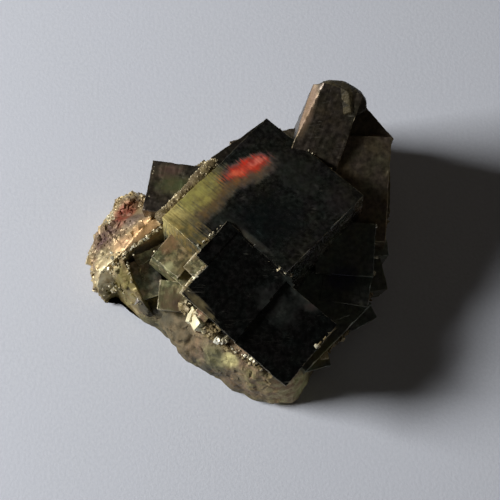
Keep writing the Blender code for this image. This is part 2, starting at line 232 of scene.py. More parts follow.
LEDGES = ((3.5, 1.0, 3), (0.9, 0.45, 2))  # width, share of the height, and levels
LEDGE_STRETCH = 14  # how many times longer than wide a ledge is
BRICKS = ((2.6, 0.74), (1.1, 0.86), (0.8, 0.9))  # width, and the share of them that stays level
BRICK_STRETCH = 1.7


def turned(degrees):
    """A turn about Z."""
    cosine, sine = math.cos(math.radians(degrees)), math.sin(math.radians(degrees))
    return np.array(((cosine, -sine, 0), (sine, cosine, 0), (0, 0, 1)))


def leaning(lean, toward):
    """The turn that tips +Z by lean degrees towards the compass angle toward, by Rodrigues' formula."""
    lean, toward = math.radians(lean), math.radians(toward)
    x, y = -math.sin(toward), math.cos(toward)
    cross = np.array(((0, 0, y), (0, 0, -x), (-y, x, 0)))
    return np.eye(3) + math.sin(lean) * cross + (1 - math.cos(lean)) * cross @ cross


def turn_of(crystal):
    """The crystal's own axes, as the columns of a matrix: spun about Z, then leaned."""
    return leaning(crystal.lean, crystal.toward) @ turned(crystal.spin)


def ticks(length, spacing):
    """Grid lines from end to end: even steps in the middle, and ever finer ones towards each end."""
    half = length / 2
    band = min(EDGE_BAND, half / 3)
    near = band * np.linspace(0, 1, EDGE_LINES + 1)[:-1] ** 1.5
    middle = np.linspace(band - half, half - band, max(2, round((length - 2 * band) / spacing)) + 1)
    return np.concatenate([near - half, middle, (half - near)[::-1]])


def box_surface(xs, ys, zs, bottom=True):
    """(points, quads) of the closed grid on a box's faces, where the lines xs, ys and zs meet."""
    counts = (len(xs), len(ys), len(zs))
    quads = []
    for axis, others in ((0, (1, 2)), (1, (0, 2)), (2, (0, 1))):
        ends = (0, 1) if axis < 2 or bottom else (1,)
        for end in ends:
            index = [None, None, None]
            index[others[0]], index[others[1]] = np.indices([counts[other] for other in others])
            index[axis] = np.full_like(index[others[0]], (counts[axis] - 1) * end)
            flat = np.ravel_multi_index(index, counts)
            ring = np.stack([flat[:-1, :-1], flat[1:, :-1], flat[1:, 1:], flat[:-1, 1:]], axis=-1)
            ring = ring.reshape(-1, 4)
            quads.append(ring if bool(end) == (axis != 1) else ring[:, ::-1])
    used, quads = np.unique(np.concatenate(quads), return_inverse=True)
    grid = np.unravel_index(used, counts)
    return np.stack([xs[grid[0]], ys[grid[1]], zs[grid[2]]], axis=-1), quads.reshape(-1, 4)


def rounded(points, half, radius):
    """The points of a box, each near an edge moved to the surface of a ball that fits inside the corner."""
    inner = np.clip(points, radius - half, half - radius)
    outward = points - inner
    return inner + outward / np.maximum(length_of(outward), TINY) * radius


def growth(relief, along, across, side, seed):
    """A face's height. Ledges are a noise, drawn out along the growth lines, rounded to whole levels. Plates
    and pits are bricks of a jittered wall: a few are raised or sunk. The bulge is a broad smooth noise. side
    is -1 or 1, and moves the noises, so that opposite faces differ."""
    broad = spots_of(along / BULGE_WIDTH, across / BULGE_WIDTH, side * 7.7)
    height = relief.bulge * smooth_noise(broad, seed)
    for width, share, levels in LEDGES:
        drawn = spots_of(along / (LEDGE_STRETCH * width), across / width, side * 5.3 + width)
        wander = smooth_noise(drawn, seed + 3)
        height = height + relief.ledge * share * np.round(levels * wander) / levels
    for (width, level), amount in zip(BRICKS, (relief.plate, relief.plate * 0.6, -relief.pit)):
        row = np.floor(across / width + 0.2 * smooth_noise(spots_of(along / 5, across, side), seed))
        shift = hashed(spots_of(row, side * 3, width * 10), seed + 5)
        column = np.floor(along / (width * BRICK_STRETCH) + 7 * shift)
        chosen = hashed(spots_of(row, column, side * 3 + width * 10), seed + 7)
        height = height + np.where(chosen > level, amount, 0.0)
    return height


def height_over(normal, shaped, through=(0, 0, 0)):
    """How high the plane through a place, square to the normal, stands over each point."""
    level = np.array(through) @ normal
    return (level - shaped[:, 0] * normal[0] - shaped[:, 1] * normal[1]) / normal[2]


def crystal_surface(crystal, spacing, tops, seed):
    """A box with rounded and chipped edges, pushed out by the relief of the faces that each point lies on,
    then stretched up or down its axis to meet the slanted top and the ground."""
    size = np.array(crystal.size)
    spacings = (spacing, spacing, spacing * UPRIGHT_STRETCH)
    points, quads = box_surface(*(ticks(*pair) for pair in zip(size, spacings)), bottom=False)
    half = size / 2
    inset = half - np.abs(points)
    edge = np.sort(inset, axis=-1)[:, 1]
    coarse, fine = (smooth_noise(points * waves, seed + n) for n, waves in enumerate(BREAK_WAVES))
    broken = np.clip(coarse + 0.5 * fine - BREAK_FROM, 0, 1)
    shaped = rounded(points, half, (tops.worn + tops.chip * broken)[:, None])

    face = np.zeros_like(points)
    for axis, along, across, relief in ((0, 2, 1, WALL), (1, 0, 2, WALL), (2, 1, 0, tops)):
        side = np.sign(points[:, axis])
        near = (np.abs(points[:, axis]) / half[axis]) ** FADE
        height = growth(relief, points[:, along], points[:, across], side, seed + 20 * axis)
        shaped[:, axis] += side * near * height
        on_face = inset[:, axis] < 1e-6
        face[on_face] = np.stack([points[:, along], points[:, across], edge], axis=-1)[on_face]

    turn = turn_of(crystal)
    top = np.array(crystal.top)
    high = np.zeros(len(points))
    if crystal.slope:
        high = height_over(turn.T @ leaning(*crystal.slope)[:, 2], shaped)
    if crystal.bevel:
        through, *facing = crystal.bevel
        lower = height_over(turn.T @ leaning(*facing)[:, 2], shaped, (np.array(through) - top) @ turn)
        # the ridge between slope and bevel counts as an edge, so the worn edges' wear and painted highlight run
        # along it
        face[:, 2] = np.minimum(face[:, 2], np.abs(high - lower))
        high = np.minimum(high, lower)
    ground = height_over(turn[2], shaped) + (UNDERSIDE - top[2]) / turn[2, 2]
    low = np.maximum(-size[2], ground)
    share = (shaped[:, 2] + half[2]) / size[2]
    shaped[:, 2] = low + share * (high - low)
    placed = top + shaped @ turn.T

    bottom = np.flatnonzero(points[:, 2] == -half[2])
    placed = np.vstack([placed, placed[bottom].mean(axis=0)])
    face = np.vstack([face, (0, 0, 1)])
    tone = np.full(len(placed), hashed(np.array((seed, 3, 5))))
    return placed, quads, bottom_fan(points, bottom, len(points)), face, tone


def bottom_fan(points, rim, middle):
    """Triangles from the rim's points, taken in order of their angle, to the middle point, facing down."""
    order = rim[np.argsort(np.arctan2(points[rim, 1], points[rim, 0]))]
    return np.stack([np.roll(order, -1), order, np.full(len(order), middle)], axis=-1)


def cleared(placed, crystal):
    """The points, with those that would stand up through this crystal's top face sunk below it."""
    turn = turn_of(crystal)
    local = (placed - np.array(crystal.top)) @ turn
    inside = (np.abs(local[:, :2]) < np.array(crystal.size[:2]) / 2 - CUT_MARGIN).all(axis=-1)
    local[inside & (local[:, 2] > -SINK), 2] = -SINK
    return np.array(crystal.top) + local @ turn.T


def joined(surfaces):
    """Several surfaces as one: their points end to end, and their faces counted on from the points before."""
    starts = np.cumsum([0] + [len(surface[0]) for surface in surfaces])
    counted = [
        (points, quads + start, triangles + start, *rest)
        for start, (points, quads, triangles, *rest) in zip(starts, surfaces)
    ]
    return tuple(np.concatenate(part) for part in zip(*counted))


def crystal_group(group, seed):
    """All the crystals of a piece, each cut back where a clear face needs the room. A clear crystal makes
    room for the later ones only."""
    surfaces = []
    for number, (name, crystal) in enumerate(group.crystals.items()):
        placed, *rest = crystal_surface(crystal, group.spacing, group.tops, seed + number)
        clear = list(CLEAR)
        for other in clear[clear.index(name) + 1 :] if name in clear else clear:
            placed = cleared(placed, CLEAR[other])
        surfaces.append((placed, *rest))
    return joined(surfaces)


# ---- Grains: many tiny crystals in one mesh ----

NO_TRIANGLES = np.zeros((0, 3), int)
GRAIN_LINES = np.array((-1.0, -0.84, 0.84, 1.0)) / 2  # the outer two are close together, for a crisp edge
GRAIN_CUBE, GRAIN_QUADS = box_surface(GRAIN_LINES, GRAIN_LINES, GRAIN_LINES)
GRAIN_CUBE = rounded(GRAIN_CUBE, 0.5, 0.08)
GRAIN_SINK = 0.2  # the share of a grain's height by which its middle is sunk
GRAIN_SIDES = (0.7, 1.3)
GRAIN_WARP = 0.12
GRAIN_WEAR = 0.4  # a grain's edges count as this much closer than they are


def grains(spots, outward, sizes, dice):
    """A blunt cube at each spot. Its sides vary, its top faces roughly outward, and it is a little out of
    true."""
    count = len(spots)
    up = outward + dice.uniform(-1, 1, (count, 3))
    up /= length_of(up)
    aside = np.cross(up, dice.normal(size=(count, 3)))
    aside /= length_of(aside)
    axes = np.stack([aside, np.cross(up, aside), up], axis=1)
    sides = sizes[:, None] * dice.uniform(*GRAIN_SIDES, (count, 3))
    warp = 1 + dice.uniform(-GRAIN_WARP, GRAIN_WARP, (count, 1, 3)) * GRAIN_CUBE[None, :, ::-1]
    local = GRAIN_CUBE[None] * warp * sides[:, None]
    local[:, :, 2] -= GRAIN_SINK * sides[:, None, 2]
    placed = spots[:, None] + np.einsum("nvi,nij->nvj", local, axes)
    quads = GRAIN_QUADS[None] + len(GRAIN_CUBE) * np.arange(count)[:, None, None]
    edge = GRAIN_WEAR * np.sort(0.5 - np.abs(GRAIN_CUBE), axis=-1)[:, 1] * sizes[:, None]
    face = np.stack([local[:, :, 0] + 9 * sizes[:, None], local[:, :, 1], edge], axis=-1)
    tone = np.repeat(dice.uniform(0, 1, count), len(GRAIN_CUBE))
    return placed.reshape(-1, 3), quads.reshape(-1, 4), NO_TRIANGLES, face.reshape(-1, 3), tone


# A rough lump: an egg shape cut flat by facets, and a middle that is inside them all. It has chips so many
# millimetres high, so many grains per square millimetre, and so many grid lines. A facet goes through a
# point, leans from level towards a compass angle, and has chips and grains of its own.
Facet = namedtuple("Facet", "through lean toward grit grains")
Lump = namedtuple("Lump", "middle centre radii turn grit grains lines facets")
EGG = ((-21.6, 0.3, 4.6), (10.6, 12.2, 14.0), -12)
LOBE = (
    Lump((-27.0, -3.5, 5.0), *EGG, 0.55, 0.25, 70, (
        Facet((-24.7, -6.2, 11.7), 40, -118, 0.30, 0.05),
        Facet((-26.2, -4.0, 12.7), 47, -170, 0.80, 0.7),
        Facet((-27.3, -5.4, 6.3), 82, -133, 0.55, 0.4),
        Facet((-23.2, -6.5, 12.0), 75, 20, 0.30, 0.0),
        Facet((-27.0, 1.0, 13.5), 30, 120, 0.70, 0.35),
    )),
    Lump((-25.0, 5.0, 6.0), *EGG, 0.55, 0.25, 70, (
        Facet((-24.9, 1.9, 14.3), 38, 165, 0.38, 0.15),
        Facet((-29.5, 6.0, 7.5), 64, 150, 0.65, 0.5),
        Facet((-26.4, 9.0, 9.5), 50, 122, 0.16, 0.0),
        Facet((-20.9, 2.4, 16.5), 24, -102, 0.12, 0.05),
        Facet((-20.7, 1.4, 15.5), 75, -62, 0.30, 0.05),
    )),
    Lump((-23.6, 8.8, 6.2), (-23.6, 8.8, 6.2), (4.8, 4.6, 6.6), 20, 0.60, 0.3, 46, ()),
)
CAP_CENTRE = (17.7, 25.6, 29.3)
CAP = Lump(CAP_CENTRE, CAP_CENTRE, (5.4, 3.2, 3.5), -22, 0.20, 0.0, 44, (
    Facet((16.9, 24.5, 30.9), 42, -125, 0.10, 0.0),
    Facet((19.1, 24.0, 31.9), 38, -50, 0.20, 0.0),
    Facet((13.8, 25.3, 30.6), 70, -175, 0.12, 0.0),
    Facet((18.0, 27.4, 32.0), 30, 80, 0.16, 0.0),
))
LUMP_CHIPS = ((1.0, 2.4, 0), (0.55, 1.0, 100), (0.28, 0.45, 200))
EDGELESS = 0.3  # a crust's every point counts as this far from an edge
LUMP_SEED, CAP_SEED, LOBE_DICE = 40, 60, 5
BARE_BELOW = 2.5  # no grains grow lower than this on the lobe
LEAST_FACING = 0.02  # the cosine below which a direction counts as along a facet


def ball_line(count):
    """Grid lines that, on each face of a cube blown up to a ball, are seen from its middle at even angles."""
    return np.tan(np.linspace(-1, 1, count) * math.pi / 4)


def crust(placed, quads, tone):
    """A closed surface whose growth lines run along x + z and across y."""
    face = np.stack([placed[:, 0] + placed[:, 2], placed[:, 1], np.full(len(placed), EDGELESS)], axis=-1)
    return placed, quads, NO_TRIANGLES, face, tone


def lump_surface(lump, seed):
    """(surface, outward, chance) of a lump, on a cube's grid blown up to a ball. Along each direction from
    the middle, the radius is the least of the egg's, where the direction leaves it, and of the facets', each
    of which is its distance over the cosine to it. Then each point moves outwards by chips of three sizes."""
    line = ball_line(lump.lines)
    points, quads = box_surface(line, line, line)
    directions = points / length_of(points)
    middle = np.array(lump.middle)
    start = (middle - lump.centre) @ turned(lump.turn) / lump.radii
    step = directions @ turned(lump.turn) / lump.radii
    square, cross = (step**2).sum(axis=-1), step @ start
    radii = [(np.sqrt(cross**2 + square * (1 - start @ start)) - cross) / square]
    for facet in lump.facets:
        normal = leaning(facet.lean, facet.toward)[:, 2]
        facing = np.maximum(directions @ normal, LEAST_FACING)
        radii.append((np.array(facet.through) - middle) @ normal / facing)
    nearest = np.argmin(radii, axis=0)
    radius = np.min(radii, axis=0)
    placed = middle + directions * radius[:, None]
    height, numbers = chip_layers(placed, LUMP_CHIPS, seed)
    tone = np.average(numbers, axis=0, weights=[share for share, *_ in LUMP_CHIPS])
    own = [(part.grit, part.grains) for part in (lump, *lump.facets)]
    grit, density = np.array(own)[nearest].T
    placed = placed + directions * (grit * height)[:, None]
    placed[:, 2] = np.maximum(placed[:, 2], UNDERSIDE)
    area = (radius * math.pi / 2 / lump.lines) ** 2
    return crust(placed, quads, tone), directions, density * area


def lobe_surfaces():
    """The lobe's lumps, and the grains that sit on them: a grid point carries one with the chance that its
    facet's density and its share of the surface give."""
    dice = np.random.default_rng(LOBE_DICE)
    bodies, crusts = [], []
    for number, lump in enumerate(LOBE):
        surface, outward, chance = lump_surface(lump, LUMP_SEED + number)
        carries = (dice.uniform(0, 1, len(chance)) < chance) & (surface[0][:, 2] > BARE_BELOW)
        sizes = 0.35 + 1.3 * dice.uniform(0, 1, carries.sum()) ** 3
        bodies.append(surface)
        crusts.append(grains(surface[0][carries], outward[carries], sizes, dice))
    return joined(bodies), joined(crusts)


# Crusts of tiny crystals where the large ones meet: first and last place, how thick, how high their chips
# are, how many grains stand out of them, and the size of those.
Seam = namedtuple("Seam", "first last radius grit grains size")
SEAMS = (
    Seam((-7.1, 13.8, 24.1), (-16.8, 2.8, 24.6), 1.4, 0.14, 260, 0.22),
    Seam((8.7, 18.6, 24), (16.8, 11.2, 25.1), 0.35, 0.25, 5, 0.3),
    Seam((-9, -18.6, 17), (1.8, -25.6, 16.9), 0.45, 0.35, 8, 0.4),
    Seam((-12.5, -13.5, 17), (-7, -18.5, 18), 1.1, 0.6, 18, 0.7),
    Seam((5.9, -8, 25.3), (7.6, -9.3, 25.1), 0.5, 0.35, 6, 0.5),
    Seam((-12, -12.2, 24.2), (-8.6, -8, 24.6), 0.7, 0.4, 10, 0.6),
    Seam((16.2, -18.8, 21.1), (13, -22.2, 20.4), 0.28, 0.15, 5, 0.35),
    Seam((-24.6, -1.4, 14.3), (-17.6, 3.4, 16.5), 0.45, 0.3, 8, 0.35),
    Seam((-30.5, -4, 7.2), (-25.2, -1.6, 13.4), 0.7, 0.45, 14, 0.35),
    Seam((13, 20.5, 15), (24, 22, 9), 1.9, 0.9, 20, 1.1),
    Seam((-15, 15, 11.6), (-3, 16, 15.4), 2, 0.9, 24, 1.1),
    Seam((23, -8, 8), (26, 8, 6.6), 1.8, 0.9, 20, 1.1),
    Seam((12, -21.6, 9), (21.6, -11.5, 8.2), 1.6, 0.8, 20, 1),
    Seam((14, 23.6, 11.6), (22, 26, 8.8), 1.8, 0.9, 16, 1.1),
)
SEAM_SPACING = 0.20  # between the rings of a seam's grid
SEAM_LINES = 11  # grid lines across each side of it
SEAM_CHIPS = ((1.0, 0.7, 0), (0.5, 0.4, 9))
SEAM_SEED, SEAM_DICE = 300, 3
SWELL, SWELL_WAVES = 0.22, 0.7

# Bright fractured crystals, whose near-white colour is a painted glint: first and last place, how many,
# their size, and how far they stray.
Glint = namedtuple("Glint", "first last count size stray")
GLINTS = (
    Glint((-24.6, -1.4, 14.9), (-17.8, 3.2, 17.2), 30, 0.32, 0.18),
    Glint((-30.4, -3.6, 9.2), (-25, -1.8, 14.6), 60, 0.42, 0.8),
    Glint((-29.4, -5.4, 6.4), (-26.8, -6.4, 8), 30, 0.35, 0.9),
    Glint((-24.6, -3, 13.6), (-23.4, -6.6, 12), 16, 0.22, 0.15),
    Glint((-22.6, -2.6, 10.6), (-21.2, -5.6, 10.2), 9, 0.22, 0.12),
    Glint((-28.9, 5.6, 9.6), (-27.2, 7.6, 10.4), 26, 0.6, 0.5),
    Glint((-7.2, -19.4, 18.2), (-4.7, -21, 18.2), 12, 0.6, 0.25),
    Glint((-3.5, -22, 18), (2, -25.6, 17.8), 7, 0.3, 0.2),
    Glint((9.6, 18, 24.9), (12.8, 14.8, 25.3), 4, 0.25, 0.15),
    Glint((-10.2, -4.5, 28), (-4.6, 0.4, 28.3), 26, 0.2, 0.1),
    Glint((-3.4, -0.9, 27.3), (5.6, -8.4, 25.6), 34, 0.16, 0.06),
    Glint((-12.1, -11.8, 25), (-8.8, -7.7, 25.4), 14, 0.5, 0.25),
    Glint((-18.6, -3.2, 21.6), (-17.4, -7.4, 21.4), 12, 0.2, 0.08),
    Glint((24.8, 3.6, 17.5), (24.9, 3.2, 17.3), 2, 0.55, 0.15),
    Glint((25, -1.2, 12), (25.9, -1.8, 10.7), 3, 0.45, 0.2),
    Glint((25, -4.4, 10.8), (25, -4.8, 10.8), 2, 0.45, 0.15),
    Glint((12.9, -22, 20.6), (12.7, -22.4, 20.5), 4, 0.6, 0.2),
    Glint((6.2, -8.2, 25.8), (7.6, -9.2, 25.6), 7, 0.45, 0.25),
    Glint((-18.9, 15.4, 19.35), (-20.3, 6.6, 20), 12, 0.24, 0.06),
    Glint((-2.6, -22.3, 17.9), (1.6, -25, 17.7), 12, 0.5, 0.2),
    Glint((-28.3, 6.3, 10.3), (-26.8, 8, 11.3), 26, 0.55, 0.35),
    Glint((-5.6, -18.9, 17.2), (-4.4, -20.2, 17.4), 8, 0.7, 0.25),
)
# Larger pale gold ones, at the front corner's foot.
PALE = (
    Glint((-9.9, -15.6, 18.8), (-9.3, -17.2, 18.4), 7, 1.7, 0.3),
    Glint((-11.6, -14.2, 18.4), (-10.4, -16, 18.2), 5, 1, 0.35),
    Glint((-9, -17.3, 17.6), (-8.2, -18.5, 17.4), 4, 1.2, 0.25),
)
GLINT_DICE, PALE_DICE = 8, 4
STRAY_SHARES = (1.0, 1.0, 0.3)  # grains stray less up and down


def glint_grains(glints, seed):
    """Bright grains scattered about each line."""
    dice = np.random.default_rng(seed)
    parts = []
    for glint in glints:
        share = dice.uniform(0, 1, (glint.count, 1))
        spots = np.array(glint.first) * (1 - share) + np.array(glint.last) * share
        spots = spots + dice.normal(size=(glint.count, 3)) * glint.stray * STRAY_SHARES
        sizes = glint.size * (0.5 + 1.2 * dice.uniform(0, 1, glint.count) ** 2)
        parts.append(grains(spots, np.array((0.0, 0.0, 1.0)), sizes, dice))
    return joined(parts)


def seam_surface(seam, seed):
    """(surface, outward) of a crust, a rod with round ends. It is a long box's grid, each point of which
    moves to the ball of the seam's radius about the nearest place of its core line. The radius swells and
    shrinks by smooth noise, and each point then moves outwards by chips of two sizes."""
    first, last = np.array(seam.first), np.array(seam.last)
    reach = np.linalg.norm(last - first)
    half = reach / 2 + seam.radius
    line = seam.radius * ball_line(SEAM_LINES)
    box, quads = box_surface(np.linspace(-half, half, round(2 * half / SEAM_SPACING)), line, line)
    core = box * (1, 0, 0)
    core[:, 0] = np.clip(core[:, 0], -reach / 2, reach / 2)
    along = (last - first) / reach
    aside = np.cross((0.0, 0.0, 1.0), along)
    aside /= np.linalg.norm(aside)
    axes = np.array((along, aside, np.cross(along, aside)))
    outward = (box - core) / length_of(box - core) @ axes
    placed = (first + last) / 2 + core @ axes
    swell = 1 + SWELL * smooth_noise(placed * SWELL_WAVES, seed)
    placed = placed + outward * (seam.radius * swell)[:, None]
    height, numbers = chip_layers(placed, SEAM_CHIPS, seed)
    placed = placed + outward * (seam.grit * height)[:, None]
    return crust(placed, quads, numbers[0]), outward


def seam_surfaces():
    """The crusts, and the grains that stand out of their upper sides."""
    dice = np.random.default_rng(SEAM_DICE)
    bodies, crusts = [], []
    for number, seam in enumerate(SEAMS):
        surface, outward = seam_surface(seam, SEAM_SEED + number)
        carries = dice.choice(np.flatnonzero(outward[:, 2] > -0.2), seam.grains, replace=False)
        sizes = seam.size * (0.5 + 1.3 * dice.uniform(0, 1, seam.grains) ** 2)
        bodies.append(surface)
        crusts.append(grains(surface[0][carries], outward[carries], sizes, dice))
    return joined(bodies), joined(crusts)


# ---- Rock ----

# The rock's outline on the ground, from the left round, and how high it stands inside each of those points.
MATRIX_CENTRE = np.array((1.0, -3.0, 0.0))
MATRIX_OUTLINE = np.array((
    (-22.6, -10.4, 7.5), (-19.4, -13.0, 9), (-15.2, -17.2, 12), (-10.6, -21.6, 15), (-6.2, -24.2, 17),
    (-1.8, -26.8, 18), (3.8, -29.2, 17), (8.6, -28.4, 15), (11.2, -25.0, 10), (13.6, -19.6, 7),
    (18.0, -12.6, 6), (20.0, -5.0, 6), (21.0, 4.0, 6), (20.0, 13.0, 6), (14.5, 18.5, 6), (6.0, 18.5, 5),
    (-1.5, 17.0, 5), (-9.0, 13.0, 5), (-15.0, 10.5, 5), (-20.0, 7.0, 5), (-23.6, 1.5, 5), (-24.4, -5.0, 7),
))
MATRIX_MIDDLE = 7.0  # how high the middle of its top is
# Each ring of its side and top: how far in from the outline, and how far up in shares of its height.
MATRIX_RINGS = np.array((
    (0.9, 0.0), (0.2, 0.07), (0.0, 0.17), (0.1, 0.29), (0.3, 0.41), (0.7, 0.53), (1.2, 0.65), (1.9, 0.77),
    (2.7, 0.88), (3.8, 0.96), (5.6, 1.0), (8.5, 0.92),
))
AROUND = 530  # grid lines round the rock
ACROSS = 88  # and from its foot to the middle of its top
LUMP_NOISE = ((0.8, 0.22, 2, 4), (0.25, 0.9, 1, 8))  # height, waves per millimetre, octaves and seed
ROCK_CHIPS = ((0.50, 4.2, 21), (0.20, 1.3, 33), (0.08, 0.55, 47))
PIT_DEPTH, PIT_SHARE = 0.25, 0.04
CREVICE_DEPTH = 0.9
FOOT_RINGS = 6  # the relief of the lowest rings grows from nothing at the ground
RIM, RIM_RINGS = 7, 3  # the ring where the side begins to turn into the top, and in how many rings it does

# Narrow clefts in its side: first and last place, and the half width.
CREVICES = (
    ((-14.6, -15.7, 9.6), (-11.9, -17.8, 10.6), 0.65),
    ((-11.9, -17.8, 10.6), (-12.7, -18.9, 8.3), 0.60),
    ((-11.9, -17.8, 10.6), (-9.4, -18.8, 13.0), 0.50),
    ((-9.5, -21.3, 10.8), (-8.9, -21.7, 11.4), 0.65),
    ((2.0, -28.0, 11.0), (5.0, -28.4, 14.5), 0.30),
    ((17.0, -12.0, 5.0), (19.5, -6.0, 3.0), 0.50),
    ((4.0, 18.0, 2.0), (-3.0, 17.0, 4.0), 0.50),
)


def groove(points, first, last, half_width):
    """A depth that falls off smoothly from the line between two places, whose ends it wraps round."""
    first = np.array(first)
    along = np.array(last) - first
    share = np.clip((points - first) @ along / (along @ along), 0, 1)
    far = np.linalg.norm(points - first - share[..., None] * along, axis=-1)
    return CREVICE_DEPTH * np.exp(-((far / half_width) ** 2))


def rock_surface():
    """The rock, on a grid of angle about its middle and place along its profile. Radius and height follow the
    outline, straight from point to point. Then each point moves outwards by lumps, which are layered smooth
    noise, and by chips of three sizes, of which a few are sunk to pits, and inwards by the crevices."""
    out = MATRIX_OUTLINE - MATRIX_CENTRE
    compass = np.arctan2(out[:, 1], out[:, 0])
    angle = np.linspace(-math.pi, math.pi, AROUND, endpoint=False)[None, :]
    radius, height = (
        np.interp(angle, compass, values, period=2 * math.pi) for values in (np.hypot(*out.T[:2]), out[:, 2])
    )
    place = np.linspace(0, len(MATRIX_RINGS) - 1, ACROSS)[:, None]
    inset, up = (np.interp(place, np.arange(len(MATRIX_RINGS)), values) for values in MATRIX_RINGS.T)
    outward = spots_of(np.cos(angle), np.sin(angle), 0 * place)
    points = MATRIX_CENTRE + outward * (radius - inset)[..., None]
    points[..., 2] += height * up

    leaning_in = np.clip((place - RIM) / RIM_RINGS, 0, 1)
    normal = outward * (1 - 0.8 * leaning_in)[..., None]
    normal[..., 2] = 0.15 + 0.85 * leaning_in
    lumps = sum(size * layered_noise(points * waves, *rest) for size, waves, *rest in LUMP_NOISE)
    grit, (number, fine_number, _) = chip_layers(points, ROCK_CHIPS)
    grit = grit - PIT_DEPTH * (fine_number < PIT_SHARE)
    crevice = sum(groove(points, *line) for line in CREVICES)
    foot = np.clip(place / FOOT_RINGS, 0, 1)
    moved = points + normal * ((lumps + (grit - crevice) * foot)[..., None])
    moved[..., 2] = np.where(place < TINY, 0.0, np.maximum(moved[..., 2], 0.02 * place))

    index = np.arange(ACROSS * AROUND).reshape(ACROSS, AROUND)
    along = np.roll(index, -1, axis=1)
    quads = np.stack([index[:-1], along[:-1], along[1:], index[1:]], axis=-1).reshape(-1, 4)
    low, high = ACROSS * AROUND, ACROSS * AROUND + 1
    under = np.stack([along[0], index[0], np.full(AROUND, low)], axis=-1)
    over = np.stack([index[-1], along[-1], np.full(AROUND, high)], axis=-1)
    middle = MATRIX_CENTRE + ((0, 0, 0), (0, 0, MATRIX_MIDDLE))
    moved = np.vstack([moved.reshape(-1, 3), middle])
    tone = np.append((0.7 * number + 0.3 * fine_number) * (1 - np.clip(crevice, 0, 1)), (0.5, 0.5))
    face = np.column_stack([moved[:, :2], np.ones(len(moved))])
    return moved, quads, np.concatenate([under, over]), face, tone


# ---- Finishes ----


class Nodes:
    """Adds nodes to one tree. A value is a number, a colour as three numbers, or another node's output."""

    def __init__(self, tree):
        self.tree = tree

    def feed(self, socket, value):
        """Links an output to this input, or sets the input's own value."""
        if isinstance(value, bpy.types.NodeSocket):
            self.tree.links.new(value, socket)
        else:
            socket.default_value = (*value, 1.0) if socket.type == "RGBA" else value

    def add(self, kind, values=None, **settings):
        """The outputs of a new node. values maps its inputs, by name or number, to their values."""
        made = self.tree.nodes.new("ShaderNode" + kind)
        for name, value in settings.items():
            setattr(made, name, value)
        for key, value in (values or {}).items():
            self.feed(made.inputs[key], value)
        return made.outputs

    def math(self, operation, *values, clamp=False):
        """The result of a Math node."""
        return self.add("Math", dict(enumerate(values)), operation=operation, use_clamp=clamp)[0]

    def vector(self, operation, *values, **named):
        """The outputs of a Vector Math node."""
        return self.add("VectorMath", {**dict(enumerate(values)), **named}, operation=operation)

    def times(self, first, *others):
        """The values multiplied together."""
        for other in others:
            first = self.math("MULTIPLY", first, other)
        return first

    def plus(self, total, *parts):
        """The total with each part, as (value, weight), added to it."""
        for value, weight in parts:
            total = self.math("MULTIPLY_ADD", value, weight, total)
        return total

    def blend(self, share, value, to):
        """The value moved by a share of the way to another."""
        return self.plus(value, (share, self.math("SUBTRACT", to, value)))

    def ramp(self, value, low, high, to_low=0.0, to_high=1.0):
        """The value taken smoothly from low..high to to_low..to_high."""
        values = {"Value": value, "From Min": low, "From Max": high, "To Min": to_low, "To Max": to_high}
        return self.add("MapRange", values, interpolation_type="SMOOTHSTEP")["Result"]

    def mix(self, share, first, second):
        """Two colours mixed by a share. A Mix node's numbered sockets are those for colours."""
        return self.add("Mix", {0: share, 6: first, 7: second}, data_type="RGBA")[2]

    def noise(self, vector, scale, detail=2.0, roughness=0.5):
        """A noise in 0..1, of so many waves per unit of the vector."""
        values = {"Vector": vector, "Scale": scale, "Detail": detail, "Roughness": roughness}
        return self.add("TexNoise", values)["Fac"]

    def bump(self, shader, height, distance):
        """Raises the surface by the height times a distance in millimetres."""
        values = {"Height": height, "Distance": distance * MM, "Strength": 1.0}
        self.feed(shader["Normal"], self.add("Bump", values)[0])


# Each shared effect is a group of nodes. Its function gives the values of the group's outputs. Position is in
# metres, and scales are in waves per metre.
VECTORS = ("Face", "Position", "Middle", "Along")  # the sockets that aren't plain numbers
WAVES_ALONG_LINES = 0.07  # of the growth lines' noise, per millimetre
SCRATCH_WAVES = (60.0, 900.0, 60.0)
BREAKUP_WAVES, WEAR_WAVES, STIR_WAVES = 300.0, 420.0, 450.0
UPRIGHT_ZONE = (1.0, 1.0, 0.3)  # draws a zone out up and down
NO_LINES = 0.7  # the height of growth lines that notches a zone by nothing


def growth_lines(nodes, given):
    """Fine parallel lines: two noises, drawn out along the lines. Height is for bump, Lines is a mask of the
    deepest ones. Density is in lines per millimetre."""
    parts = nodes.add("SeparateXYZ", {0: given["Face"]})
    across = nodes.times(parts[1], given["Density"])
    along = nodes.times(parts[0], WAVES_ALONG_LINES)
    drawn = nodes.add("CombineXYZ", {0: along, 1: across})[0]
    drawn_fine = nodes.add("CombineXYZ", {0: nodes.times(along, 3.0), 1: across, 2: 5.0})[0]
    broad = nodes.noise(drawn, 1.0, 3.0, 0.7)
    fine = nodes.noise(drawn_fine, 3.1, 2.0, 0.6)
    return nodes.plus(broad, (fine, 0.4)), nodes.ramp(broad, 0.60, 0.68)


def scratches(nodes, given):
    """Thin scratches: where a noise, drawn out along two directions in turn, crosses its middle value.
    Another noise breaks them up."""
    total = 0.0
    for turn, scale in ((0.6, 1.0), (2.1, 5.0)):
        values = {"Vector": given["Position"], "Rotation": (0.0, 0.0, turn), "Scale": SCRATCH_WAVES}
        drawn = nodes.add("Mapping", values, vector_type="POINT")[0]
        middle = nodes.math("ABSOLUTE", nodes.math("SUBTRACT", nodes.noise(drawn, scale, 1.0, 0.4), 0.5))
        total = nodes.math("ADD", total, nodes.ramp(middle, 0.0, 0.012, 1.0, 0.0))
    kept = nodes.ramp(nodes.noise(given["Position"], BREAKUP_WAVES), 0.54, 0.66)
    return (nodes.math("MULTIPLY", nodes.times(total, kept), given["Amount"], clamp=True),)


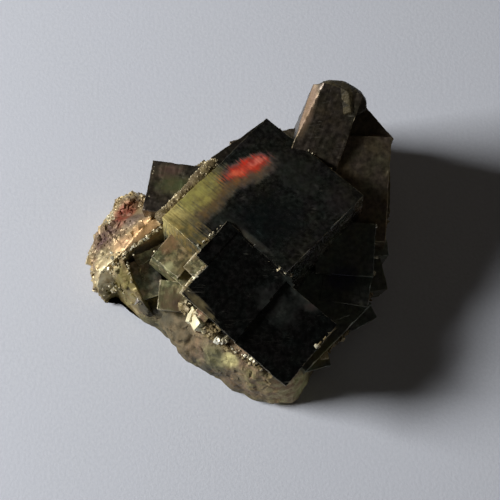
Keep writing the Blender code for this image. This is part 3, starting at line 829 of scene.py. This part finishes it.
def worn_and_highlit_edges(nodes, given):
    """A mask of 1 at a face's edges, its width broken up by noise, for brassy wear and a painted highlight
    along them. Width is in millimetres.
    """
    edge = nodes.add("SeparateXYZ", {0: given["Face"]})[2]
    broken = nodes.ramp(nodes.noise(given["Position"], WEAR_WAVES, 4.0, 0.7), 0.42, 0.66, 0.02, 1.7)
    share = nodes.math("DIVIDE", edge, nodes.times(given["Width"], broken))
    return (nodes.ramp(share, 0.4, 1.0, 1.0, 0.0),)


def blotches(nodes, given):
    """Cloudy patches: a noise, sharpened, with a finer one inside it."""
    cloud = nodes.noise(given["Position"], given["Scale"], 4.0, 0.55)
    finer = nodes.noise(given["Position"], nodes.times(given["Scale"], 7.0), 3.0, 0.6)
    return nodes.ramp(cloud, 0.36, 0.64), finer


def zone(nodes, given):
    """A soft oval mask: 1 at Middle, 0 at half of Length along the axis Along and half of Width aside from
    it, and drawn out up and down. Noise disturbs its rim by Stir, and growth lines, whose height is Lines,
    notch it by Notch. Its places and sizes are in metres."""
    offset = nodes.vector("SUBTRACT", given["Position"], given["Middle"])[0]
    offset = nodes.vector("MULTIPLY", offset, UPRIGHT_ZONE)[0]
    forth = nodes.vector("DOT_PRODUCT", offset, given["Along"])["Value"]
    onward = nodes.vector("SCALE", given["Along"], Scale=forth)[0]
    aside = nodes.vector("LENGTH", nodes.vector("SUBTRACT", offset, onward)[0])["Value"]
    forth = nodes.math("DIVIDE", forth, nodes.times(given["Length"], 0.5))
    aside = nodes.math("DIVIDE", aside, nodes.times(given["Width"], 0.5))
    square = nodes.plus(nodes.times(forth, forth), (aside, aside))
    stirred = nodes.math("SUBTRACT", nodes.noise(given["Position"], STIR_WAVES, 4.0, 0.65), 0.5)
    notched = nodes.math("SUBTRACT", NO_LINES, given["Lines"])
    square = nodes.plus(square, (stirred, given["Stir"]), (notched, given["Notch"]))
    return (nodes.ramp(square, 0.0, 1.0, 1.0, 0.0),)


def new_group(build, inputs, outputs):
    """A shader node group with these sockets, named for the function that fills it."""
    tree = bpy.data.node_groups.new(build.__name__, "ShaderNodeTree")
    for direction, labels in (("INPUT", inputs), ("OUTPUT", outputs)):
        for label in labels:
            kind = "NodeSocketVector" if label in VECTORS else "NodeSocketFloat"
            tree.interface.new_socket(name=label, in_out=direction, socket_type=kind)
    nodes = Nodes(tree)
    values = build(nodes, tree.nodes.new("NodeGroupInput").outputs)
    for socket, value in zip(tree.nodes.new("NodeGroupOutput").inputs, values):
        nodes.feed(socket, value)
    return tree


EFFECTS = {
    build.__name__: new_group(build, inputs, outputs)
    for build, inputs, outputs in (
        (growth_lines, ("Face", "Density"), ("Height", "Lines")),
        (worn_and_highlit_edges, ("Face", "Position", "Width"), ("Mask",)),
        (blotches, ("Position", "Scale"), ("Patch", "Fine")),
        (zone, ("Position", "Middle", "Along", "Length", "Width", "Stir", "Lines", "Notch"), ("Mask",)),
        (scratches, ("Position", "Amount"), ("Mask",)),
    )
}


def in_frame(place):
    """A place in the tables' frame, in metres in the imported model's frame."""
    return (np.array(place) - CENTRE) * MM


class Finish(Nodes):
    """A material being made: its nodes, and the colour, metallic value and roughness that it has so far."""

    def __init__(self, name, metallic):
        self.material = bpy.data.materials.new(name)
        self.material.use_nodes = True
        super().__init__(self.material.node_tree)
        self.shader = self.tree.nodes["Principled BSDF"].inputs
        self.position = self.add("TexCoord")["Object"]
        self.face = self.add("Attribute", attribute_name="face")["Vector"]
        self.tone = self.add("Attribute", attribute_name="tone")["Fac"]
        self.metallic = metallic
        self.lines = NO_LINES

    def effect(self, name, **values):
        """The outputs of one of the shared effects, with its own values."""
        made = self.tree.nodes.new("ShaderNodeGroup")
        made.node_tree = EFFECTS[name]
        for key, value in {"Position": self.position, "Face": self.face, **values}.items():
            if key in made.inputs:
                self.feed(made.inputs[key], value)
        return made.outputs

    def cover(self, share, color):
        """Lays a colour over the present one, by a share."""
        self.color = self.mix(share, self.color, color)

    def lighten(self, value):
        """Multiplies the present colour by a value."""
        self.color = self.add("HueSaturation", {"Value": value, "Color": self.color})["Color"]

    def tarnish(self, zones):
        """Lays each zone's colour, metallic value and roughness over the present ones, one after another."""
        inner = self.effect("blotches", Scale=ZONE_WAVES)["Patch"]
        for row in zones:
            area = Zone(*row)
            oval = self.effect(
                "zone", Middle=in_frame(area.middle), Along=(*area.along, 0.0)[:3], Length=area.length * MM,
                Width=area.width * MM, Stir=area.stir, Lines=self.lines, Notch=area.notch,
            )
            mask = self.times(oval["Mask"], area.strength)
            self.cover(mask, self.mix(inner, area.color, area.other))
            self.metallic = self.blend(mask, self.metallic, area.metallic)
            self.roughness = self.blend(mask, self.roughness, area.roughness)

    def connected(self):
        """The material, with its colour, metallic value and roughness given to its shader."""
        self.feed(self.shader["Base Color"], self.color)
        self.feed(self.shader["Metallic"], self.metallic)
        self.feed(self.shader["Roughness"], self.roughness)
        return self.material


# A metallic finish: the colours of its face, of its two kinds of blotches and of its worn edges, which are
# brassy wear and painted highlight together, its roughness, how metallic it is, how strong its growth lines
# are, how dense they are per millimetre, how wide its worn edges are and how strong its mottles are.
Metal = namedtuple("Metal", "face patch tint edge roughness metallic lines density worn mottle")
METALS = {
    # its face colour is partly tarnish, partly painted reflection: darkened far below brass, as if mirroring a
    # dark room
    "mirror_faces": Metal(
        (0.19, 0.23, 0.205), (0.23, 0.225, 0.165), (0.19, 0.17, 0.19), (0.34, 0.31, 0.22),
        0.27, 1, 0.35, 3, 0.16, 0.4,
    ),
    # its face colour is partly tarnish, partly painted reflection: nearly black, as if mirroring a dark room
    "black_tarnish_and_reflection_faces": Metal(
        (0.1, 0.12, 0.115), (0.12, 0.13, 0.12), (0.12, 0.105, 0.11), (0.44, 0.4, 0.3),
        0.26, 1, 0.25, 3, 0.16, 0.3,
    ),
    "dark_faces": Metal(
        (0.24, 0.29, 0.25), (0.28, 0.28, 0.21), (0.21, 0.21, 0.22), (0.2, 0.2, 0.15),
        0.36, 0.95, 0.4, 3.5, 0.12, 0.2,
    ),
    "olive_faces": Metal(
        (0.22, 0.2, 0.13), (0.28, 0.215, 0.13), (0.2, 0.155, 0.13), (0.34, 0.29, 0.18),
        0.36, 0.9, 0.4, 3.5, 0.18, 0.25,
    ),
    "tall_faces": Metal(
        (0.115, 0.105, 0.075), (0.15, 0.12, 0.08), (0.12, 0.1, 0.09), (0.17, 0.14, 0.09),
        0.36, 0.95, 0.4, 3.5, 0.12, 0.3,
    ),
    "tan_faces": Metal(
        (0.33, 0.32, 0.165), (0.42, 0.31, 0.17), (0.16, 0.19, 0.09), (0.68, 0.6, 0.42),
        0.45, 0.35, 0.5, 4, 0.2, 0.8,
    ),
    "brassy_faces": Metal(
        (0.3, 0.25, 0.13), (0.28, 0.19, 0.11), (0.26, 0.14, 0.1), (0.75, 0.65, 0.42),
        0.4, 0.6, 0.5, 4, 0.2, 0.6,
    ),
    "recess_faces": Metal(
        (0.27, 0.29, 0.23), (0.14, 0.16, 0.18), (0.36, 0.25, 0.21), (0.6, 0.6, 0.52),
        0.4, 0.4, 0.5, 4, 0.14, 0.7,
    ),
}
SCRATCH = (0.34, 0.33, 0.28)
# How many waves per metre the blotches and noises of the finishes have.
CLOUD_WAVES, TINT_WAVES, MOTTLE_WAVES = 160.0, 330.0, 950.0
ZONE_WAVES, BRASS_WAVES, GRIT_WAVES = 600.0, 260.0, 5200.0
# Granular brass: its dark and light colours, how metallic it is and its roughness.
BRASSES = {
    "gold_grains": ((0.26, 0.18, 0.10), (0.66, 0.53, 0.28), 0.5, 0.40),
    # near white: painted glints on the fractured crystals
    "painted_glint_grains": ((0.52, 0.48, 0.34), (0.94, 0.93, 0.78), 0.3, 0.30),
    "pale_gold": ((0.60, 0.54, 0.31), (0.92, 0.88, 0.60), 0.1, 0.40),
    "seam_grains": ((0.185, 0.140, 0.070), (0.42, 0.335, 0.165), 0.3, 0.55),
    "seam_crust": ((0.115, 0.082, 0.036), (0.235, 0.182, 0.082), 0.25, 0.60),
    "dark_crust": ((0.024, 0.020, 0.010), (0.085, 0.068, 0.032), 0.3, 0.55),
}
# the grains' edge colour: wear and a painted highlight
BRASS_EDGE = (0.80, 0.70, 0.46)
ROCK_DARK, ROCK_STRAW = (0.024, 0.020, 0.010), (0.240, 0.210, 0.104)
ROCK_FOOT = (0.09, 0.10, 0.045)
# Cloudy patches on the rock: waves per metre, strength and colour.
ROCK_PATCHES = (
    (150.0, 0.7, (0.13, 0.13, 0.06)),
    (500.0, 0.5, (0.30, 0.205, 0.125)),
    (75.0, 0.6, (0.30, 0.175, 0.085)),
)

# A coloured zone of tarnish: its middle in the tables' frame, its axis, its length and width, how stirred and
# how notched by growth lines its rim is, its colour and that of its own blotches, and how metallic, rough and
# strong it is at its middle. Each material's zones lie one over another.
Zone = namedtuple("Zone", "middle along length width stir notch color other metallic roughness strength")
MAIN_X, MAIN_Y, _ = turn_of(GROUPS["main_block"].crystals["main"]).T
YELLOW_GREEN = (0.57, 0.52, 0.135)
OLIVE_BROWN = (0.38, 0.32, 0.09)
ZONES = {
    "mirror_faces": (
        # painted reflection: the main face's middle darkened to teal-black, as if mirroring a dark room
        ((3, 1, 27), (1, 0), 18, 13, 1.2, 0.2, (0.1, 0.17, 0.18), (0.12, 0.15, 0.17), 1, 0.25, 0.6),
        ((9.5, 11, 27), (0.7, -0.7), 16, 9, 1.4, 0.2, (0.2, 0.23, 0.16), (0.14, 0.16, 0.12), 0.95, 0.35, 0.5),
        ((17, 5.5, 26), (0.7, -0.7), 9, 8, 1.2, 0.2, (0.2, 0.16, 0.15), (0.14, 0.12, 0.12), 0.95, 0.35, 0.45),
        ((-4.5, 0.8, 26.5), MAIN_Y, 13, 7, 1.6, 0.8, (0.14, 0.12, 0.07), (0.12, 0.11, 0.07), 0.9, 0.38, 0.25),
        ((-7.8, 4.6, 26.6), MAIN_X, 19, 6, 1, 0.8, (0.34, 0.21, 0.07), (0.2, 0.15, 0.07), 0.5, 0.42, 0.8),
        ((-10.6, 6.6, 26.6), MAIN_X, 20, 7.6, 0.9, 1.4, YELLOW_GREEN, OLIVE_BROWN, 0.3, 0.42, 0.9),
        ((-14.9, 1.8, 26), MAIN_Y, 14, 7.2, 0.9, 2, (0.9, 0.77, 0.28), (0.62, 0.5, 0.18), 0.25, 0.42, 1),
        ((-11.4, -1.5, 25.6), MAIN_Y, 14, 6.6, 1.2, 2.4,
         (0.38, 0.26, 0.07), (0.13, 0.12, 0.05), 0.4, 0.42, 0.9),
        ((0.6, -3.2, 26.4), (0.75, -0.66), 15, 2, 0.8, 0.3,
         (0.26, 0.2, 0.12), (0.17, 0.14, 0.09), 0.7, 0.42, 0.5),
        ((-0.4, 11.4, 27), (0.9, 0.44), 15, 6.4, 0.9, 0.8,
         (0.32, 0.15, 0.045), (0.18, 0.1, 0.05), 0.4, 0.4, 0.85),
        ((-0.9, 12.7, 27), (0.9, 0.44), 13, 4.7, 0.6, 2.4,
         (0.72, 0.042, 0.02), (0.42, 0.04, 0.024), 0.15, 0.4, 1),
        ((-2.2, 11.6, 27), (0.9, 0.44), 9, 2.2, 0.6, 2.5,
         (0.95, 0.19, 0.095), (0.75, 0.07, 0.04), 0.15, 0.4, 0.8),
        ((1.2, 13.9, 27), (0.9, 0.44), 5, 2, 0.8, 3, (0.9, 0.28, 0.2), (0.6, 0.08, 0.06), 0.15, 0.4, 0.7),
    ),
    "black_tarnish_and_reflection_faces": (
        ((-9.6, -15, 24.4), (0.7, -0.72), 11, 2.2, 2.4, 2.6,
         (0.33, 0.27, 0.13), (0.14, 0.11, 0.05), 0.45, 0.45, 0.85),
        ((10, -11.6, 21.8), (0.66, -0.75), 13, 7, 1.2, 0.3,
         (0.13, 0.15, 0.13), (0.1, 0.12, 0.1), 0.9, 0.5, 0.6),
        ((5.2, -15, 21.6), (0.75, -0.66), 13, 7, 1.2, 0.3,
         (0.12, 0.14, 0.12), (0.09, 0.1, 0.09), 0.9, 0.5, 0.5),
        ((11.8, -15, 20.6), (1, 0), 4, 3, 0.8, 0, (0.13, 0.06, 0.06), (0.1, 0.07, 0.06), 0.8, 0.5, 0.5),
    ),
    "dark_faces": (
        ((18.4, -7.3, 15.5), (1, 0), 8, 6, 0.8, 0, (0.07, 0.06, 0.15), (0.08, 0.08, 0.12), 0.8, 0.4, 0.8),
        ((14, -21, 12), (0.8, 0.6), 10, 6, 0.8, 0.3, (0.36, 0.34, 0.14), (0.24, 0.2, 0.08), 0.5, 0.45, 0.8),
    ),
    "gold_grains": (
        # painted shade: near-black in the hollow between the lobe and the steps
        ((-21, -0.6, 9.5), (0.87, 0.49), 14, 6.5, 0.8, 0,
         (0.06, 0.055, 0.06), (0.11, 0.08, 0.07), 0.6, 0.45, 1),
        ((-25.4, 7.4, 11.6), (0.61, 0.79), 9, 5.4, 0.5, 0,
         (0.28, 0.058, 0.03), (0.2, 0.085, 0.045), 0.2, 0.6, 1),
        ((-23.4, 5.4, 13), (0.87, 0.49), 6, 3.4, 0.7, 0,
         (0.21, 0.15, 0.12), (0.14, 0.095, 0.072), 0.4, 0.45, 0.9),
        ((-29, 3, 10.6), (0.61, 0.79), 10, 6, 1, 0, (0.095, 0.05, 0.042), (0.15, 0.095, 0.05), 0.4, 0.5, 1),
        ((-26.4, -7, 9.5), (0.72, -0.69), 14, 11, 0.6, 0,
         (0.3, 0.26, 0.09), (0.2, 0.15, 0.05), 0.3, 0.5, 0.95),
        ((-21, 2.8, 16.4), (0.87, 0.49), 9, 5, 0.8, 0,
         (0.66, 0.4, 0.18), (0.46, 0.27, 0.12), 0.4, 0.45, 0.95),
        ((-25.4, 0.6, 13.8), (0.87, 0.49), 6, 4, 1, 0, (0.6, 0.38, 0.19), (0.42, 0.25, 0.13), 0.4, 0.45, 0.9),
        ((-30.2, -1.2, 11), (0.85, 0.5), 6, 4, 1, 0, (0.26, 0.21, 0.12), (0.38, 0.32, 0.18), 0.4, 0.5, 0.85),
        # painted light: near-white on a crest facet of the lobe that faces away from the window
        ((-28.8, -4.6, 11), (0.73, 0.68), 8, 4.6, 1.2, 0, (1, 0.9, 0.6), (0.8, 0.64, 0.37), 0.3, 0.38, 0.95),
        ((-30.8, -2.2, 7), (0.5, -0.6), 6, 3, 1, 0, (0.26, 0.1, 0.07), (0.44, 0.33, 0.17), 0.4, 0.45, 0.8),
        # painted shadow: near-black under the lobe's front, where it meets the rock and the steps
        ((-20.8, -11, 7.6), (0.5, -0.85), 7, 4.4, 1, 0,
         (0.045, 0.04, 0.026), (0.08, 0.07, 0.04), 0.1, 0.75, 1),
    ),
    "tall_faces": (
        ((11.3, 23.4, 28.7), (0.34, 0.94), 15, 3.6, 0.5, 0,
         (0.23, 0.155, 0.105), (0.17, 0.11, 0.06), 0.5, 0.55, 1),
        ((-14.8, 10.8, 20), (1, -0.2), 11, 6, 1.4, 0.6,
         (0.15, 0.19, 0.075), (0.22, 0.21, 0.09), 0.7, 0.45, 0.75),
        ((-16.4, 14, 19.8), (1, 0.1), 9, 4.4, 1.4, 0.6,
         (0.22, 0.13, 0.1), (0.15, 0.12, 0.075), 0.7, 0.45, 0.75),
    ),
    "tan_faces": (
        ((-15.6, -2.2, 22), (0.64, 0.77), 6, 3.4, 1.4, 0.6,
         (0.44, 0.27, 0.155), (0.33, 0.225, 0.11), 0.4, 0.45, 0.9),
        ((-15.9, -6.6, 21.6), (0.64, 0.77), 3.4, 2.2, 1, 0,
         (0.72, 0.7, 0.38), (0.56, 0.54, 0.29), 0.2, 0.45, 0.95),
        ((-12.4, -7.6, 21.5), (0.74, -0.67), 5, 3.4, 1.2, 0.4,
         (0.2, 0.16, 0.08), (0.3, 0.24, 0.12), 0.4, 0.45, 0.9),
        ((-15.4, -12.2, 17), (0, 1), 7, 6, 1.4, 0.4,
         (0.22, 0.15, 0.085), (0.14, 0.128, 0.064), 0.4, 0.45, 0.9),
        ((-18.4, -10, 17), (0, 1), 8, 2.6, 1.2, 0, (0.12, 0.1, 0.05), (0.18, 0.15, 0.08), 0.4, 0.5, 0.9),
        ((-13.8, -13, 16.9), (0.74, -0.67), 5.5, 3.4, 0.8, 0,
         (0.08, 0.055, 0.035), (0.13, 0.08, 0.045), 0.3, 0.5, 0.9),
    ),
    "brassy_faces": (
        ((-11.8, -14.4, 16.5), (0.6, -0.8), 7, 5, 1, 0.3,
         (0.14, 0.065, 0.042), (0.18, 0.115, 0.062), 0.5, 0.45, 0.9),
    ),
    "pale_rock": (
        ((-15.5, -15, 9), (0.8, -0.6), 16, 12, 0.9, 0,
         (0.175, 0.135, 0.07), (0.07, 0.062, 0.03), 0, 0.7, 0.85),
        ((-7, -22.4, 13.4), (0.8, -0.6), 7, 5, 0.9, 0, (0.26, 0.245, 0.11), (0.1, 0.1, 0.045), 0, 0.7, 0.85),
        ((-3.9, -23.3, 14.5), (0.9, -0.4), 4.6, 3, 0.6, 0, (0.66, 0.6, 0.27), (0.5, 0.45, 0.2), 0, 0.6, 0.95),
        ((1.5, -27, 14), (0.9, -0.4), 9, 6, 1, 0, (0.38, 0.26, 0.15), (0.28, 0.25, 0.11), 0, 0.7, 0.85),
        # this zone and the next: the rock's own brown-green at its right end, made paler as painted light where
        # it lies in partial shade
        ((6.6, -28, 7.5), (1, 0), 9, 8, 1, 0, (0.66, 0.58, 0.3), (0.4, 0.26, 0.13), 0, 0.7, 0.9),
        ((11, -26.4, 8), (0.5, 0.8), 7, 6, 1, 0, (0.7, 0.72, 0.33), (0.5, 0.39, 0.19), 0, 0.7, 0.9),
        # painted shadow: a dark line along the rock's top, under the crystals
        ((-17.6, -12, 8), (0.75, -0.66), 9, 3.4, 0.9, 0,
         (0.055, 0.05, 0.03), (0.1, 0.085, 0.045), 0, 0.7, 0.95),
    ),
}


def metal_finish(name, metal):
    """Face colour blotched with the patch and tint colours and varied by the crystal's tone, darker in the
    growth lines, and brassy along worn edges, which stands for wear and a painted highlight together. Lines,
    scratches and edges are rougher."""
    made = Finish(name, metal.metallic)
    lines = made.effect("growth_lines", Density=metal.density)
    clouds = made.effect("blotches", Scale=CLOUD_WAVES)
    tints = made.effect("blotches", Scale=TINT_WAVES)["Patch"]
    mottles = made.noise(made.position, MOTTLE_WAVES, 3.0, 0.6)
    scratched = made.effect("scratches", Amount=0.6)["Mask"]
    # the edge mask: brassy wear and a painted highlight along every edge
    worn = made.effect("worn_and_highlit_edges", Width=metal.worn)["Mask"]
    made.color = made.mix(clouds["Patch"], metal.face, metal.patch)
    made.cover(made.times(tints, 0.7), metal.tint)
    made.lighten(made.times(
        made.ramp(made.tone, 0.0, 1.0, 0.8, 1.2),
        made.ramp(clouds["Fine"], 0.3, 0.7, 0.75, 1.25),
        made.ramp(lines["Lines"], 0.0, 1.0, 1.0, 1 - 0.4 * metal.lines),
        made.ramp(mottles, 0.40, 0.60, 1 - 0.5 * metal.mottle, 1 + 0.6 * metal.mottle),
    ))
    made.cover(scratched, SCRATCH)
    # painted highlight and wear: the edges take the edge colour
    made.cover(worn, metal.edge)
    made.roughness = made.plus(
        metal.roughness - 0.1,
        (clouds["Fine"], 0.2), (scratched, 0.2), (lines["Lines"], 0.1 * metal.lines), (worn, 0.08),
    )
    made.lines = lines["Height"]
    made.bump(made.shader, made.plus(made.times(made.lines, metal.lines), (clouds["Fine"], 0.25)), 0.06)
    return made


def brass_finish(name, dark, light, metallic, roughness):
    """Each grain has its own tone, from dark to light, and a brighter edge of wear and painted highlight."""
    made = Finish(name, metallic)
    clouds = made.effect("blotches", Scale=BRASS_WAVES)
    made.color = made.mix(made.ramp(made.tone, 0.2, 0.8), dark, light)
    made.cover(made.times(clouds["Patch"], 0.6), dark)
    made.cover(made.times(made.effect("worn_and_highlit_edges", Width=0.10)["Mask"], 0.6), BRASS_EDGE)
    made.roughness = made.ramp(clouds["Fine"], 0.3, 0.7, roughness - 0.1, roughness + 0.1)
    made.bump(made.shader, clouds["Fine"], 0.08)
    return made


def rock_finish(name):
    """Straw-coloured grains of varied tone, darker in the pits and crevices and towards the foot."""
    made = Finish(name, 0.0)
    grit = made.noise(made.position, GRIT_WAVES, 4.0, 0.7)
    made.color = made.mix(made.ramp(made.tone, 0.14, 0.82), ROCK_DARK, ROCK_STRAW)
    patches = [made.effect("blotches", Scale=scale) for scale, *_ in ROCK_PATCHES]
    for patch, (_, strength, color) in zip(patches, ROCK_PATCHES):
        made.cover(made.times(patch["Patch"], strength), color)
    made.lighten(made.ramp(grit, 0.35, 0.65, 0.36, 1.38))
    height = made.add("SeparateXYZ", {0: made.position})["Z"]
    made.cover(made.ramp(height, 0.0, 6 * MM, 0.7, 0.0), ROCK_FOOT)
    made.roughness = made.ramp(grit, 0.35, 0.65, 0.45, 0.8)
    made.bump(made.shader, made.plus(grit, (patches[0]["Fine"], 2.0)), 0.13)
    return made


def make_finishes():
    """The materials, by name."""
    finishes = {name: metal_finish(name, metal) for name, metal in METALS.items()}
    finishes.update({name: brass_finish(name, *brass) for name, brass in BRASSES.items()})
    finishes["pale_rock"] = rock_finish("pale_rock")
    for name, zones in ZONES.items():
        finishes[name].tarnish(zones)
    return {name: finish.connected() for name, finish in finishes.items()}


# ---- Pieces ----

SHARP = math.radians(28)  # edges that turn by more than this stay sharp


def add_piece(name, surface, material, replaced):
    """An object from a surface, riding on the specimen in place of a solid."""
    points, quads, triangles, face, tone = surface
    mesh = bpy.data.meshes.new(name)
    corners = np.concatenate([quads.ravel(), triangles.ravel()]).astype(np.int32)
    sizes = np.repeat((4, 3), (len(quads), len(triangles)))
    mesh.vertices.add(len(points))
    mesh.vertices.foreach_set("co", in_frame(points).astype(np.float32).ravel())
    mesh.loops.add(len(corners))
    mesh.loops.foreach_set("vertex_index", corners)
    mesh.polygons.add(len(sizes))
    mesh.polygons.foreach_set("loop_start", (np.cumsum(sizes) - sizes).astype(np.int32))
    mesh.update(calc_edges=True)
    attributes = (("face", "FLOAT_VECTOR", "vector", face), ("tone", "FLOAT", "value", tone))
    for label, kind, key, values in attributes:
        mesh.attributes.new(label, kind, "POINT").data.foreach_set(key, values.astype(np.float32).ravel())
    mesh.shade_smooth()
    mesh.set_sharp_from_angle(angle=SHARP)
    mesh.materials.append(material)
    piece = bpy.data.objects.new(name, mesh)
    bpy.context.scene.collection.objects.link(piece)
    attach(piece, "root")
    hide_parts(replaced)


def make_specimen(finishes):
    """All the pieces: the large crystals, the crusts and grains on them, and the rock."""
    pieces = [
        (name, crystal_group(group, CRYSTAL_SEED + 10 * number), group.material)
        for number, (name, group) in enumerate(GROUPS.items())
    ]
    lobe, lobe_grains = lobe_surfaces()
    seams, seam_grains = seam_surfaces()
    pieces += [
        ("lobe", lobe, "gold_grains"),
        ("lobe_grains", lobe_grains, "gold_grains"),
        ("cap", lump_surface(CAP, CAP_SEED)[0], "dark_crust"),
        ("seams", seams, "seam_crust"),
        ("seam_grains", seam_grains, "seam_grains"),
        ("glints", glint_grains(GLINTS, GLINT_DICE), "painted_glint_grains"),
        ("gold_crystals", glint_grains(PALE, PALE_DICE), "pale_gold"),
    ]
    for name, surface, material in pieces:
        add_piece(name, surface, finishes[material], "crystal_cluster")
    add_piece("rock", rock_surface(), finishes["pale_rock"], "matrix")


# ---- Studio ----

TARGET = Vector(in_frame((0.0, 0.0, 12.0)))
CAMERA_ELEVATION = 72
CAMERA_DISTANCE = 0.40
CAMERA_LENS = 144
CAMERA_SENSOR = 36
# Each light: name, compass angle and angle up, distance, width and height in metres, power in watts, and
# colour.
LIGHTS = (
    ("window", 176, 32, 0.70, 0.26, 0.22, 6.0, (1.0, 0.98, 0.95)),
    ("wall_right", -30, 18, 0.60, 0.40, 0.18, 0.08, (1.0, 0.84, 0.68)),
    ("wall_back", 60, 16, 0.60, 0.40, 0.16, 0.08, (1.0, 0.87, 0.74)),
)
PAPER_HALF = 0.9  # half the paper's side in metres
PAPER_DARK, PAPER_LIGHT, PAPER_CLOUD = (0.67, 0.71, 0.80), (0.72, 0.76, 0.85), (0.70, 0.74, 0.84)
PAPER_GRAIN, PAPER_CLOUDS = 1500.0, 60.0  # waves per metre
ROOM_LOW, ROOM_HIGH = (0.0165, 0.0128, 0.0095), (0.0095, 0.0090, 0.0080)


def in_scene(name, data):
    """A new object of this data, in the scene."""
    thing = bpy.data.objects.new(name, data)
    bpy.context.scene.collection.objects.link(thing)
    return thing


def aim(thing, azimuth, elevation, distance):
    """Places an object at this distance from the target, looking at it. The compass angle is 0 at +X and 90
    at +Y."""
    azimuth, elevation = math.radians(azimuth), math.radians(elevation)
    level = math.cos(elevation)
    direction = Vector((math.cos(azimuth) * level, math.sin(azimuth) * level, math.sin(elevation)))
    thing.location = TARGET + direction * distance
    thing.rotation_euler = (-direction).to_track_quat("-Z", "Y").to_euler()


def make_floor():
    """A sheet of pale paper, with a faint grain."""
    mesh = bpy.data.meshes.new("paper")
    corners = [(x * PAPER_HALF, y * PAPER_HALF, FLOOR * MM) for x, y in ((-1, -1), (1, -1), (1, 1), (-1, 1))]
    mesh.from_pydata(corners, [], [(0, 1, 2, 3)])
    material = bpy.data.materials.new("paper")
    material.use_nodes = True
    nodes = Nodes(material.node_tree)
    shader = material.node_tree.nodes["Principled BSDF"].inputs
    position = nodes.add("TexCoord")["Object"]
    grain = nodes.noise(position, PAPER_GRAIN, 3.0, 0.6)
    color = nodes.mix(nodes.ramp(grain, 0.3, 0.7), PAPER_DARK, PAPER_LIGHT)
    clouds = nodes.ramp(nodes.noise(position, PAPER_CLOUDS, 3.0), 0.3, 0.7, 0.0, 0.5)
    nodes.feed(shader["Base Color"], nodes.mix(clouds, color, PAPER_CLOUD))
    nodes.feed(shader["Roughness"], 0.85)
    nodes.bump(shader, grain, 0.05)
    mesh.materials.append(material)
    floor = in_scene("paper", mesh)


def make_world():
    """A dim room: brighter towards the walls than overhead."""
    world = bpy.data.worlds.new("room")
    bpy.context.scene.world = world
    world.use_nodes = True
    nodes = Nodes(world.node_tree)
    upward = nodes.add("SeparateXYZ", {0: nodes.add("TexCoord")["Generated"]})[2]
    color = nodes.mix(nodes.ramp(upward, 0.0, 0.75), ROOM_LOW, ROOM_HIGH)
    nodes.feed(world.node_tree.nodes["Background"].inputs["Color"], color)


def make_studio():
    """The paper, the room, the lights and the camera."""
    make_floor()
    make_world()
    for name, azimuth, elevation, distance, width, height, power, color in LIGHTS:
        light = bpy.data.lights.new(name, "AREA")
        light.shape = "RECTANGLE"
        light.size = width
        light.size_y = height
        light.energy = power
        light.color = color
        aim(in_scene(name, light), azimuth, elevation, distance)
    camera = bpy.data.cameras.new("camera")
    camera.lens = CAMERA_LENS
    camera.sensor_width = CAMERA_SENSOR
    eye = in_scene("camera", camera)
    aim(eye, -90, CAMERA_ELEVATION, CAMERA_DISTANCE)
    bpy.context.scene.camera = eye
    bpy.context.scene.view_settings.view_transform = "Standard"


make_studio()
make_specimen(make_finishes())
